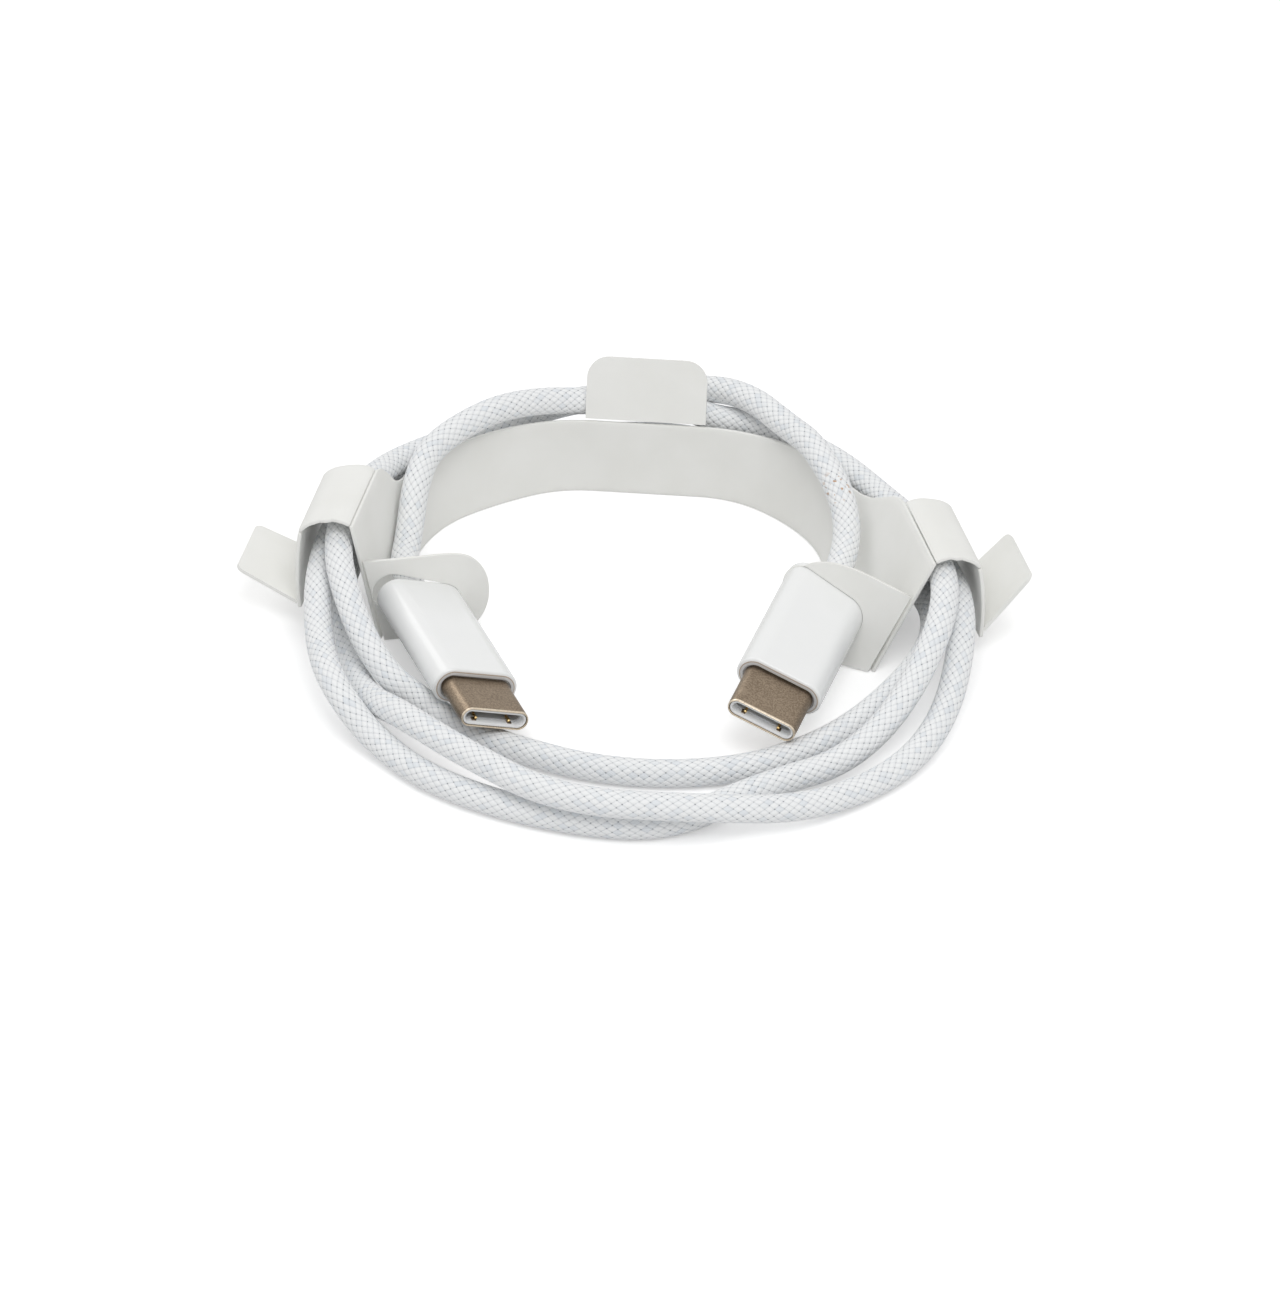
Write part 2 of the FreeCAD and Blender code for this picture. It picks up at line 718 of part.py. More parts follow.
    chip = body(f"{side}_marker_chip")
    box_pad(chip, "Sizes.board_start + 2.8", "Sizes.board_start + 2.8 + Sizes.chip_long",
            "Sizes.chip_wide", "Sizes.chip_high", "0", "(Sizes.board_thick + Sizes.chip_high) / 2")
    keep(chip, "marker_chip")

    can = body(f"{side}_shield_can")
    tube_pad(can, "Sizes.can_start", "Sizes.can_end", "Sizes.can_wide", "Sizes.can_thick",
             "Sizes.can_wide - 2 * Sizes.can_wall", "Sizes.can_thick - 2 * Sizes.can_wall")
    keep(can, "shield_can")

    ferrule = body(f"{side}_crimp_ferrule")
    ring = new_sketch(ferrule, "YZ_Plane", "Sizes.ferrule_start")
    draw_circle(ring, "Sizes.ferrule_outer")
    draw_circle(ring, "Sizes.ferrule_inner")
    pad(ferrule, ring, "Sizes.ferrule_end - Sizes.ferrule_start")
    keep(ferrule, "crimp_ferrule")

    spots = [(a, b) for a in ("-0.4", "0.4") for b in ("-0.66", "0.66")]
    relief = body(f"{side}_strain_relief")
    disc = new_sketch(relief, "YZ_Plane")
    draw_circle(disc, "Sizes.rear_hole")
    pad(relief, disc, "Sizes.rear_wall")
    bores = new_sketch(relief, "YZ_Plane", "0.6")
    for a, b in spots:
        draw_circle(bores, "Sizes.wire_dia", a, b)
    pocket(relief, bores, "Sizes.rear_wall")
    keep(relief, "strain_relief")

    wires = body(f"{side}_core_wires")
    wires.AllowCompound = True
    cores = new_sketch(wires, "YZ_Plane", "0.6")
    for a, b in spots:
        draw_circle(cores, "Sizes.wire_dia", a, b)
    pad(wires, cores, "8")
    keep(wires, "core_wires")


for side, place in (("left", LEFT_PLUG), ("right", RIGHT_PLUG)):
    cable_plug(side, place)

# Cable: stations of the coil (point, heading), clockwise from above, three turns


def beside(foot, along, out, run, side, z):
    point = foot + along * run + out * side
    return V(point.x, point.y, z)


def left_pass(side, z):
    return beside(LEFT_FOOT, left_along, left_out, 6.3, side, z)


def right_pass(side, z):
    return beside(RIGHT_FOOT, right_along, right_out, 6.7, side, z)


def polar(radius, angle, z):
    angle = math.radians(angle)
    return V(radius * math.cos(angle), radius * math.sin(angle), z)


LEFT_JOIN = V(0, 38.95, 10.6)
RIGHT_JOIN = V(0, 42.75, 11.3)
LEFT_JOIN_WAY = heading(0)
RIGHT_JOIN_WAY = heading(-6.3)
STRAIGHT = S["cable_dia"]

STATIONS = [
    (LEFT_JOIN + LEFT_JOIN_WAY * STRAIGHT, 0, 0),
    (V(9.5, 37.9, 8.95), -15.5, 0),
    (polar(35.5, 42, 8.9), -58, 0),
    (right_pass(8.45, 11.1), -76.6, 0),
    (polar(32.6, -58, 1.6), -154, 0),
    (polar(34.8, -93, 1.6), 172, 0),
    (polar(36.0, -140, 1.8), 130, 0),
    (polar(36.9, -164, 6.2), 102, 0),
    (left_pass(7.1, 9.0), 78.2, 0),
    (polar(39.7, 125, 5.2), 33, 0),
    (V(0, 39.6, 5.3), 0, 0),
    (polar(37.5, 62, 5.3), -36, 0),
    (polar(35.1, 42, 4.8), -58, 0),
    (right_pass(10.35, 7.95), -76.6, 0),
    (polar(37.9, -45, 1.8), -137, 0),
    (polar(36.5, -93, 5.4), 174, 0),
    (polar(32.8, -140, 5.2), 132, 0),
    (polar(33.2, -166, 3.4), 104, 0),
    (left_pass(5.15, 5.4), 78.2, 0),
    (polar(39.2, 125, 1.6), 34, 0),
    (polar(39.2, 108, 1.6), 17, 0),
    (V(0, 38.4, 1.6), 0, 0),
    (polar(37.2, 64, 1.6), -34, 0),
    (polar(33.1, 42, 1.6), -58, 0),
    (right_pass(7.9, 4.9), -76.6, 0),
    (polar(28.0, -48, 1.8), -143, 0),
    (V(0, -24.9, 1.6), 174, 0),
    (V(-16.5, -18.7, 1.7), 149, 0),
    (V(-22.4, -14.0, 2.35), 138, 0.2),
    (polar(30.4, -164, 6.2), 118, 0.42),
    (left_pass(5.35, 12.2), 78.2, 0),
    (polar(39.8, 122, 8.9), 30, 0),
    (RIGHT_JOIN - RIGHT_JOIN_WAY * STRAIGHT, -6.3, 0),
]


def coil_edges():
    edges = [Part.makeLine(LEFT_JOIN, STATIONS[0][0])]
    for (here, way, climb), (there, next_way, next_climb) in zip(STATIONS[:-1], STATIONS[1:]):
        edges += biarc_edges(here, heading(way, climb), there, heading(next_way, next_climb))
    edges.append(Part.makeLine(STATIONS[-1][0], RIGHT_JOIN))
    return edges


def rounded_edges(points, name):
    """Straight runs joined by tangent arcs, with a radius of 0.45 of the shorter run."""
    edges = []
    at = points[0]
    radii = []
    for before, corner, after in zip(points[:-2], points[1:-1], points[2:]):
        into = corner - before
        out = after - corner
        shorter = min(into.Length, out.Length)
        half_turn = into.getAngle(out) / 2
        cut = 0.45 * shorter
        radius = cut / math.tan(half_turn)
        radii.append(round(radius, 1))
        into.normalize()
        out.normalize()
        start = corner - into * cut
        end = corner + out * cut
        bisect = (out - into).normalize()
        centre = corner + bisect * (radius / math.cos(half_turn))
        middle = centre - bisect * radius
        edges.append(Part.makeLine(at, start))
        edges.append(Part.Arc(start, middle, end).toShape())
        at = end
    edges.append(Part.makeLine(at, points[-1]))
    runs = [round((b - a).Length, 1) for a, b in zip(points[:-1], points[1:])]
    print(name, "bend radii", radii, "runs", runs)
    return edges


def sweep(name, edges):
    """A round tube of the cable's diameter along the edges."""
    path = Part.Wire(edges)
    start = edges[0].Vertexes[0].Point
    way = (edges[0].Vertexes[1].Point - start).normalize()
    ring = Part.Wire(Part.makeCircle(S["cable_dia"] / 2, start, way))
    solid = path.makePipeShell([ring], True, False)
    made = doc.addObject("Part::Feature", name)
    made.Shape = solid
    section = math.pi * S["cable_dia"] ** 2 / 4
    print(name, "length", round(path.Length, 2), "volume over section",
          round(solid.Volume / section, 2))
    return made, path


coil, coil_path = sweep("cable_coil", coil_edges())
node(coil, "cable_coil", FreeCAD.Placement())


def plug_exit(place, far):
    rear = place.Base
    ahead = place.Rotation.multVec(V(1, 0, 0))
    return [rear, rear - ahead * far]


left_points = plug_exit(LEFT_PLUG, 5.6) + [
    V(-26.4, 15.6, 6.3), V(-25.7, 21.4, 10.3), V(-24.0, 27.05, 11.8), V(-17.55, 32.8, 12.95),
    V(-11.9, 36.6, 12.0), LEFT_JOIN - LEFT_JOIN_WAY * 6.3, LEFT_JOIN]
right_points = plug_exit(RIGHT_PLUG, 5.0) + [
    V(24.4, 14.6, 8.7), V(23.25, 19.2, 11.35), V(20.3, 25.8, 12.95), V(17.85, 30.1, 12.3),
    V(13.0, 36.8, 12.65), RIGHT_JOIN + RIGHT_JOIN_WAY * 7.0, RIGHT_JOIN]
left_end, left_path = sweep("left_cable_end", rounded_edges(left_points, "left_cable_end"))
right_end, right_path = sweep("right_cable_end", rounded_edges(right_points, "right_cable_end"))
node(left_end, "left_cable_end", FreeCAD.Placement())
node(right_end, "right_cable_end", FreeCAD.Placement())


def least_self_gap(path, skip=15.0, step=0.8):
    """The least gap between stretches of the tube further apart along it than skip, and where."""
    count = int(path.Length / step)
    points = path.discretize(count + 1)
    step = path.Length / count
    jump = int(skip / step)
    least = (1e9, None, None)
    for k, here in enumerate(points):
        for there in points[k + jump:]:
            apart = here.distanceToPoint(there)
            if apart < least[0]:
                least = (apart, here, there)
    spots = [tuple(round(c, 1) for c in one) for one in least[1:]]
    return round(least[0] - S["cable_dia"], 3), spots


print("coil least self gap", *least_self_gap(coil_path))
print("flexible length", round(coil_path.Length + left_path.Length + right_path.Length, 1))

# Common frame: the origin is under the middle of the card holder

doc.recompute()
CORDS = ("cable_coil", "left_cable_end", "right_cable_end")
PLUG_WORDS = ("housing", "collar", "shell", "carrier", "contacts", "latch", "springs", "board",
              "chip", "can", "ferrule", "relief", "wires")
holder = [one for one in nodes
          if one.Label not in CORDS and not one.Label.endswith(PLUG_WORDS)]
box = FreeCAD.BoundBox()
for one in holder:
    box.add(one.Shape.BoundBox)
shift = FreeCAD.Placement(V(-(box.XMin + box.XMax) / 2, -(box.YMin + box.YMax) / 2, -box.ZMin),
                          FreeCAD.Rotation())
print("shift", shift.Base)
for one in nodes:
    one.Placement = shift.multiply(one.Placement)
doc.recompute()

total = 0
for one in doc.Objects:
    if "Invalid" in one.State or "Error" in one.State:
        print("PROBLEM", one.Name, one.Label, one.State)
for one in nodes:
    shape = one.Shape
    if shape.isNull() or not shape.isValid():
        print("BAD SHAPE", one.Label)
    shape.exportStep(f"parts/{one.Label}.step")
    total += shape.Volume
print("nodes", len(nodes), "volume", round(total, 1))
for name, point, axis in joints:
    point = shift.multVec(point)
    print("joint", name, [round(c, 4) for c in point], [round(c, 5) for c in axis])
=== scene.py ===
# %% [markdown]
# # A braided charging cable in its folded card holder
# The cable is wound in three loose turns. A strip of white card stands inside them, and its folded
# straps, tab and slotted tongues keep the turns and the two plugs in place.
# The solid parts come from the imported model, which is the fixed frame of this scene. The lesson
# dresses them: a woven sleeve for the cable, card for the holder, plastic and steel for the plugs.

# %% The tools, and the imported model
import math

import bpy
import numpy as np
from mathutils import Matrix, Vector


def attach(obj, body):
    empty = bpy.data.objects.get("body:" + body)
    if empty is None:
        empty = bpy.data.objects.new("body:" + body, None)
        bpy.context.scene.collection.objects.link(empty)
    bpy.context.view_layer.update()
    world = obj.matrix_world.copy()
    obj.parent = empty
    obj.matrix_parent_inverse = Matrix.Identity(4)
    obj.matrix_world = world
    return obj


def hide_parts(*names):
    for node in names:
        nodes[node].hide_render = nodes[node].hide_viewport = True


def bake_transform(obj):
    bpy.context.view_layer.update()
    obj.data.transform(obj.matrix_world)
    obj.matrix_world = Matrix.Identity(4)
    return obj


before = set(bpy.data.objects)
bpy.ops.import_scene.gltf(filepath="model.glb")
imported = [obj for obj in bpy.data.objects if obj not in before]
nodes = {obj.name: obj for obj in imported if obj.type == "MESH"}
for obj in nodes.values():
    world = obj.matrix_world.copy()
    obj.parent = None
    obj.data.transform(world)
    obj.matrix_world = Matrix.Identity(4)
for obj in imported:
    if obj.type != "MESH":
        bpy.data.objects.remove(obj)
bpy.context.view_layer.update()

# %% [markdown]
# ## Where things are
# The model's own frame is under the middle of the card holder. The winding is easier to think of
# from the middle of the coil, in millimetres, so one short function turns such a point into metres
# in the model's frame. Directions need no shift, so they have a function of their own.

# %% Points and directions
COIL_MIDDLE = Vector((0.46782, -17.74966, 0.0)) / 1000
UP = Vector((0, 0, 1))


def spot(x, y, z):
    """A point given in millimetres from the middle of the coil."""
    return COIL_MIDDLE + Vector((x, y, z)) / 1000


def heading(degrees, climb=0.0):
    """A direction seen from above, counted from the right, with a climb if it has one."""
    angle = math.radians(degrees)
    return Vector((math.cos(angle), math.sin(angle), climb)).normalized()


print("coil middle, mm:", [round(c * 1000, 2) for c in COIL_MIDDLE])

# %% [markdown]
# ## The camera
# The picture was taken from the front and 34 degrees above, with a long lens: the far side of the
# coil looks hardly smaller than the near side. A 128 mm lens over a 24 mm high frame, 0.8 m away,
# gives that, and the small shift puts the coil where the picture has it.

# %% Camera
ELEVATION = math.radians(34)
DISTANCE = 0.8
PICTURE_HIGH = 1310
SENSOR_HIGH = 24
FOCUS_PIXELS = 7000

camera_data = bpy.data.cameras.new("camera")
camera_data.sensor_fit = "VERTICAL"
camera_data.sensor_height = SENSOR_HIGH
camera_data.lens = FOCUS_PIXELS * SENSOR_HIGH / PICTURE_HIGH
camera_data.shift_x = 3 / PICTURE_HIGH
camera_data.shift_y = 4 / PICTURE_HIGH
camera_data.clip_start = 0.01
camera_data.clip_end = 20
camera = bpy.data.objects.new("camera", camera_data)
bpy.context.scene.collection.objects.link(camera)
eye = COIL_MIDDLE + DISTANCE * Vector((0, -math.cos(ELEVATION), math.sin(ELEVATION)))
camera.location = eye
camera.rotation_euler = (COIL_MIDDLE - eye).to_track_quat("-Z", "Y").to_euler()
bpy.context.scene.camera = camera
bpy.context.scene.view_settings.view_transform = "Standard"
print("camera at", [round(c, 3) for c in eye], "lens", round(camera_data.lens, 2))

# %% [markdown]
# ## Writing shaders as sums
# A material here is mostly arithmetic: how far along the cable, which thread, over or under. Node
# graphs for that get long, so a small class wraps one socket and lets Python's own signs add the
# Math nodes. A second class holds a material's tree and adds every other node with one method:
# its settings go in first, then what its sockets get.

# %% Signals and paints
class Signal:
    """One output socket; each sign used on it adds a Math node."""

    def __init__(self, paint, socket):
        self.paint = paint
        self.socket = socket

    def math(self, operation, first, second=None, third=None):
        inputs = {0: first}
        if second is not None:
            inputs[1] = second
        if third is not None:
            inputs[2] = third
        return self.paint.add("ShaderNodeMath", {"operation": operation}, inputs)

    def __add__(self, other):
        return self.math("ADD", self, other)

    def __radd__(self, other):
        return self.math("ADD", other, self)

    def __sub__(self, other):
        return self.math("SUBTRACT", self, other)

    def __rsub__(self, other):
        return self.math("SUBTRACT", other, self)

    def __mul__(self, other):
        return self.math("MULTIPLY", self, other)

    def __rmul__(self, other):
        return self.math("MULTIPLY", other, self)

    def __truediv__(self, other):
        return self.math("DIVIDE", self, other)

    def __mod__(self, other):
        return self.math("FLOORED_MODULO", self, other)

    def floor(self):
        return self.math("FLOOR", self)

    def fraction(self):
        return self.math("FRACT", self)

    def size(self):
        return self.math("ABSOLUTE", self)

    def sine(self):
        return self.math("SINE", self)

    def least(self, other):
        return self.math("MINIMUM", self, other)

    def most(self, other):
        return self.math("MAXIMUM", self, other)

    def step(self, low, high):
        """0 below low, 1 above high, and a smooth rise between them."""
        return self.paint.add("ShaderNodeMapRange", {"interpolation_type": "SMOOTHSTEP"},
                              {"Value": self, "From Min": low, "From Max": high})


class Paint:
    """A material and its node tree."""

    def __init__(self, name):
        self.material = bpy.data.materials.new(name)
        self.material.use_nodes = True
        self.tree = self.material.node_tree
        self.tree.nodes.clear()

    def add(self, kind, settings=None, inputs=None, output=0):
        """Add a node: settings first, then values or links for its sockets."""
        made = self.tree.nodes.new(kind)
        for name, setting in (settings or {}).items():
            setattr(made, name, setting)
        for name, given in (inputs or {}).items():
            socket = made.inputs[name]
            if isinstance(given, Signal):
                self.tree.links.new(given.socket, socket)
            elif isinstance(given, (tuple, list)) and len(given) == 3 and len(
                    getattr(socket, "default_value", given)) == 4:
                socket.default_value = (*given, 1)
            else:
                socket.default_value = given
        return Signal(self, made.outputs[output]) if len(made.outputs) else None

    def blend(self, amount, first, second):
        """Mix two colours by a factor."""
        made = self.tree.nodes.new("ShaderNodeMix")
        made.data_type = "RGBA"
        for index, given in ((0, amount), (6, first), (7, second)):
            if isinstance(given, Signal):
                self.tree.links.new(given.socket, made.inputs[index])
            elif isinstance(given, (tuple, list)):
                made.inputs[index].default_value = (*given, 1)
            else:
                made.inputs[index].default_value = given
        return Signal(self, made.outputs[2])

    def finish(self, bump=None, bump_height=0.0001, bump_strength=1.0, **inputs):
        """Put the Principled shader on the output, with a bump if there is one."""
        given = {name.replace("_", " "): one for name, one in inputs.items()}
        if bump is not None:
            given["Normal"] = self.add("ShaderNodeBump", None, {
                "Strength": bump_strength, "Distance": bump_height, "Height": bump})
        shader = self.add("ShaderNodeBsdfPrincipled", None, given)
        self.add("ShaderNodeOutputMaterial", None, {"Surface": shader})
        return self.material


print("shader helpers ready")

# %% [markdown]
# ## Floor and light
# The picture is a cut-out on white. A wide pale floor keeps the coil's soft shadow, and for the
# camera alone it gets a little light of its own, so that it reaches white without more light on
# the cable. The world is white to the camera and to reflections, and gives the even light of a
# tent to everything else. A broad lamp high in front makes the shadows between the turns, and a
# weaker one behind on the left lights the far side.

# %% Floor, world and lamps
FLOOR_REACH = 3.0
FLOOR_LEVEL = -0.00004
FLOOR_GLOW = 0.34
SKY_ON_THINGS = 0.62
SKY_SEEN = 1.0

floor_paint = Paint("pale_floor")
path = floor_paint.add("ShaderNodeLightPath")
floor_diffuse = floor_paint.add("ShaderNodeBsdfDiffuse", None, {"Color": (0.86, 0.86, 0.86)})
floor_glow = floor_paint.add("ShaderNodeEmission", None, {
    "Color": (1, 1, 1), "Strength": path * FLOOR_GLOW})
floor_sum = floor_paint.add("ShaderNodeAddShader", None, {0: floor_diffuse, 1: floor_glow})
floor_paint.tree.links.new(floor_sum.socket,
                           floor_paint.tree.nodes.new("ShaderNodeOutputMaterial").inputs["Surface"])

floor_mesh = bpy.data.meshes.new("floor")
floor_mesh.from_pydata([(FLOOR_REACH * x, FLOOR_REACH * y, FLOOR_LEVEL)
                        for x, y in ((-1, -1), (1, -1), (1, 1), (-1, 1))], [], [(0, 1, 2, 3)])
floor_mesh.materials.append(floor_paint.material)
floor = bpy.data.objects.new("floor", floor_mesh)
bpy.context.scene.collection.objects.link(floor)

world = bpy.data.worlds.new("studio")
world.use_nodes = True
bpy.context.scene.world = world
tree = world.node_tree
tree.nodes.clear()
seen = tree.nodes.new("ShaderNodeLightPath")
direct = tree.nodes.new("ShaderNodeMath")
direct.operation = "MAXIMUM"
tree.links.new(seen.outputs["Is Camera Ray"], direct.inputs[0])
tree.links.new(seen.outputs["Is Transmission Ray"], direct.inputs[1])
mirrored = tree.nodes.new("ShaderNodeMath")
mirrored.operation = "MAXIMUM"
tree.links.new(direct.outputs[0], mirrored.inputs[0])
tree.links.new(seen.outputs["Is Glossy Ray"], mirrored.inputs[1])
level = tree.nodes.new("ShaderNodeMapRange")
level.inputs["To Min"].default_value = SKY_ON_THINGS
level.inputs["To Max"].default_value = SKY_SEEN
tree.links.new(mirrored.outputs[0], level.inputs["Value"])
sky = tree.nodes.new("ShaderNodeBackground")
sky.inputs["Color"].default_value = (1, 1, 1, 1)
tree.links.new(level.outputs[0], sky.inputs["Strength"])
tree.links.new(sky.outputs[0], tree.nodes.new("ShaderNodeOutputWorld").inputs["Surface"])


def lamp(name, place, watts, wide):
    """A square lamp that faces the coil."""
    data = bpy.data.lights.new(name, "AREA")
    data.energy = watts
    data.size = wide
    made = bpy.data.objects.new(name, data)
    made.location = place
    made.rotation_euler = (COIL_MIDDLE - Vector(place)).to_track_quat("-Z", "Y").to_euler()
    bpy.context.scene.collection.objects.link(made)


lamp("key_lamp", (0.1, -0.4, 0.75), 2.4, 0.45)
lamp("back_lamp", (-0.35, 0.4, 0.55), 0.8, 0.4)
print("stage, world and two lamps")

# %% [markdown]
# ## The cable's line
# A cable is bent smoothly everywhere, so its line is one NURBS curve of order three whose control
# points are the bends of its route. The two ends come out of the plugs, go up under the card and
# run onto the coil. In the coil, each pair of stations along the turns gives two control points:
# the corners of the two arcs that join them, which a short loop works out.

# %% The plugs' places
MOUTH_AT = 26.65


def plug_place(x, y, z, yaw, pitch, roll):
    """The frame of a plug: x from the rear of the housing to the mouth, z through it."""
    yaw, pitch, roll = (math.radians(one) for one in (yaw, pitch, roll))
    ahead = Vector((math.sin(yaw) * math.cos(pitch), -math.cos(yaw) * math.cos(pitch),
                    -math.sin(pitch)))
    side = UP.cross(ahead).normalized()
    above = ahead.cross(side)
    across = side * math.cos(roll) - above * math.sin(roll)
    rear = spot(x, y, z) - ahead * (MOUTH_AT / 1000)
    turn = Matrix((ahead, across, ahead.cross(across))).transposed()
    return Matrix.Translation(rear) @ turn.to_4x4()


PLUGS = {
    "left": plug_place(-15.8, -20.1, 5.4, 20.5, 0, 19),
    "right": plug_place(13.8, -21.05, 5.9, -18, 2, 21),
}


def on_plug(side, x, y=0.0, z=0.0):
    """A point given in millimetres in a plug's own frame."""
    return PLUGS[side] @ (Vector((x, y, z)) / 1000)


RING_POINTS = 40


def slot_ring(side, x, wide, thick):
    """A slot-shaped ring across a plug at x, in millimetres."""
    half, radius = (wide - thick) / 2, thick / 2
    found = []
    for k in range(RING_POINTS):
        angle = 2 * math.pi * k / RING_POINTS
        middle = half if math.cos(angle) >= 0 else -half
        found.append(on_plug(side, x, middle + radius * math.cos(angle), radius * math.sin(angle)))
    return found


print("plug rears, mm:", {side: [round(c * 1000, 1) for c in place.translation]
                          for side, place in PLUGS.items()})

# %% The route
LEFT_FOOT = (-29.6, 3.7)
RIGHT_FOOT = (27.0, -3.0)
LEFT_ALONG = 78.2
RIGHT_ALONG = 103.4


def polar(radius, angle, z):
    """A point round the middle of the coil, in millimetres and degrees."""
    angle = math.radians(angle)
    return spot(radius * math.cos(angle), radius * math.sin(angle), z)


def strap_pass(foot, along_degrees, out_degrees, inward, out, z):
    """A point in a strap, a way along its wall from the foot and a way out from it."""
    along, away = heading(along_degrees), heading(along_degrees + out_degrees)
    return spot(foot[0] + along.x * inward + away.x * out,
                foot[1] + along.y * inward + away.y * out, z)


def left_pass(out, z):
    """A point half way through the left strap."""
    return strap_pass(LEFT_FOOT, LEFT_ALONG, 90, 6.3, out, z)


def right_pass(out, z):
    """A point half way through the right strap."""
    return strap_pass(RIGHT_FOOT, RIGHT_ALONG, -90, 6.7, out, z)


LEFT_JOIN, LEFT_JOIN_WAY = spot(0, 38.75, 10.6), heading(0)
RIGHT_JOIN, RIGHT_JOIN_WAY = spot(0, 42.92, 9.2), heading(-6.3, 0.19)
CABLE = 0.0032

stations = [
    (LEFT_JOIN + LEFT_JOIN_WAY * CABLE, 0, 0), (spot(9.5, 37.65, 8.85), -15.5, 0),
    (polar(35.5, 42, 8.9), -58, 0), (right_pass(8.45, 11.1), -76.6, 0),
    (polar(31.8, -58, 2.2), -153, 0), (polar(35.1, -93, 1.6), 172, 0),
    (polar(34.65, -140, 1.7), 131, 0), (polar(36.5, -163, 6.0), 103, 0),
    (left_pass(7.1, 9.0), 78.2, 0), (polar(39.7, 125, 5.2), 33, 0),
    (spot(0, 39.6, 5.3), 0, 0), (polar(37.5, 62, 5.3), -36, 0),
    (polar(35.1, 42, 4.8), -58, 0), (right_pass(10.35, 7.95), -76.6, 0),
    (polar(37.9, -45, 1.8), -137, 0), (polar(36.45, -93, 5.4), 173.5, 0),
    (polar(32.3, -138, 5.55), 133, 0), (polar(32.65, -166, 2.8), 105, 0),
    (left_pass(5.15, 5.4), 78.2, 0), (polar(39.2, 125, 1.6), 34, 0),
    (polar(39.2, 108, 1.6), 17, 0), (spot(0, 38.4, 1.6), 0, 0),
    (polar(37.2, 64, 1.6), -34, 0), (polar(33.1, 42, 1.6), -58, 0),
    (right_pass(7.9, 4.9), -76.6, 0), (polar(28.0, -48, 1.8), -143, 0),
    (spot(0, -24.9, 1.6), 174, 0), (spot(-16.5, -18.7, 1.7), 149, 0),
    (spot(-22.4, -14.1, 2.2), 138, 0.2), (polar(30.9, -164, 6.4), 119, 0.42),
    (left_pass(5.35, 12.2), 78.2, 0), (polar(39.4, 122, 8.7), 30, 0),
    (RIGHT_JOIN - RIGHT_JOIN_WAY * CABLE, -6.3, 0.19),
]


def bends_between(start, start_way, end, end_way):
    """The two corners of the arcs that leave start and arrive at end along their ways."""
    chord = end - start
    along = chord.dot(start_way + end_way)
    spread = 2 * (1 - start_way.dot(end_way))
    if spread > 1e-9:
        reach = (math.sqrt(along ** 2 + spread * chord.length_squared) - along) / spread
    else:
        reach = chord.length_squared / (4 * chord.dot(end_way))
    return [start + start_way * reach, end - end_way * reach]


turns = []
for (here, way, climb), (there, next_way, next_climb) in zip(stations[:-1], stations[1:]):
    turns += bends_between(here, heading(way, climb), there, heading(next_way, next_climb))

route = [
    on_plug("left", 0), on_plug("left", -5.6), spot(-26.4, 15.6, 6.3), spot(-25.7, 21.4, 10.3),
    spot(-24.0, 27.05, 11.8), spot(-17.55, 32.8, 12.95), spot(-11.9, 36.6, 12.0),
    LEFT_JOIN - LEFT_JOIN_WAY * 0.0063,
    *turns,
    RIGHT_JOIN + RIGHT_JOIN_WAY * 0.007, spot(13.0, 37.1, 12.6), spot(17.85, 30.1, 12.3),
    spot(20.3, 25.8, 12.95), spot(23.25, 19.2, 11.35), spot(24.4, 14.6, 8.7),
    on_plug("right", -5.0), on_plug("right", 0),
]
print("control points:", len(route), "of which in the coil:", len(turns))

# %% One smooth curve through the route, read as a fine line
curve_data = bpy.data.curves.new("cable_line", "CURVE")
curve_data.dimensions = "3D"
line = curve_data.splines.new("NURBS")
line.points.add(len(route) - 1)
for point, place in zip(line.points, route):
    point.co = (*place, 1)
line.order_u = 3
line.use_endpoint_u = True
line.resolution_u = 16
curve = bpy.data.objects.new("cable_line", curve_data)
bpy.context.scene.collection.objects.link(curve)
bpy.context.view_layer.update()
read = bpy.data.meshes.new_from_object(curve)
track = np.array([vertex.co for vertex in read.vertices], float)
bpy.data.objects.remove(curve)
steps = np.linalg.norm(np.diff(track, axis=0), axis=1)
travel = np.concatenate([[0], np.cumsum(steps)])
print("cable line:", len(track), "points,", round(travel[-1] * 1000, 1), "mm")
apart = np.linalg.norm(track[:, None] - track[None], axis=2)
apart[np.abs(travel[:, None] - travel[None]) < 4 * CABLE] = 1
print("closest strands, middle to middle, mm:", round(apart.min() * 1000, 2), "at",
      (track[apart.argmin() // len(track)] * 1000).round(1))


def nearest(point, first=0, last=None):
    """The index of the line's point nearest to a place."""
    part = track[first:last]
    return first + int(np.argmin(np.linalg.norm(part - np.array(point), axis=1)))


end_part = len(track) // 5
cut_left = nearest(LEFT_JOIN, 0, end_part)
cut_right = nearest(RIGHT_JOIN, len(track) - end_part)
print("cuts at", cut_left, cut_right, "ends, mm:", round(travel[cut_left] * 1000, 1),
      round((travel[-1] - travel[cut_right]) * 1000, 1))

# %% [markdown]
# ## The sleeve's surface
# A tube follows the line. Each ring of its points is carried along without twisting, so that the
# weave runs straight down the cable, and the UV map stores what the weave needs: the share of the
# way round, and the distance along the cable in metres.

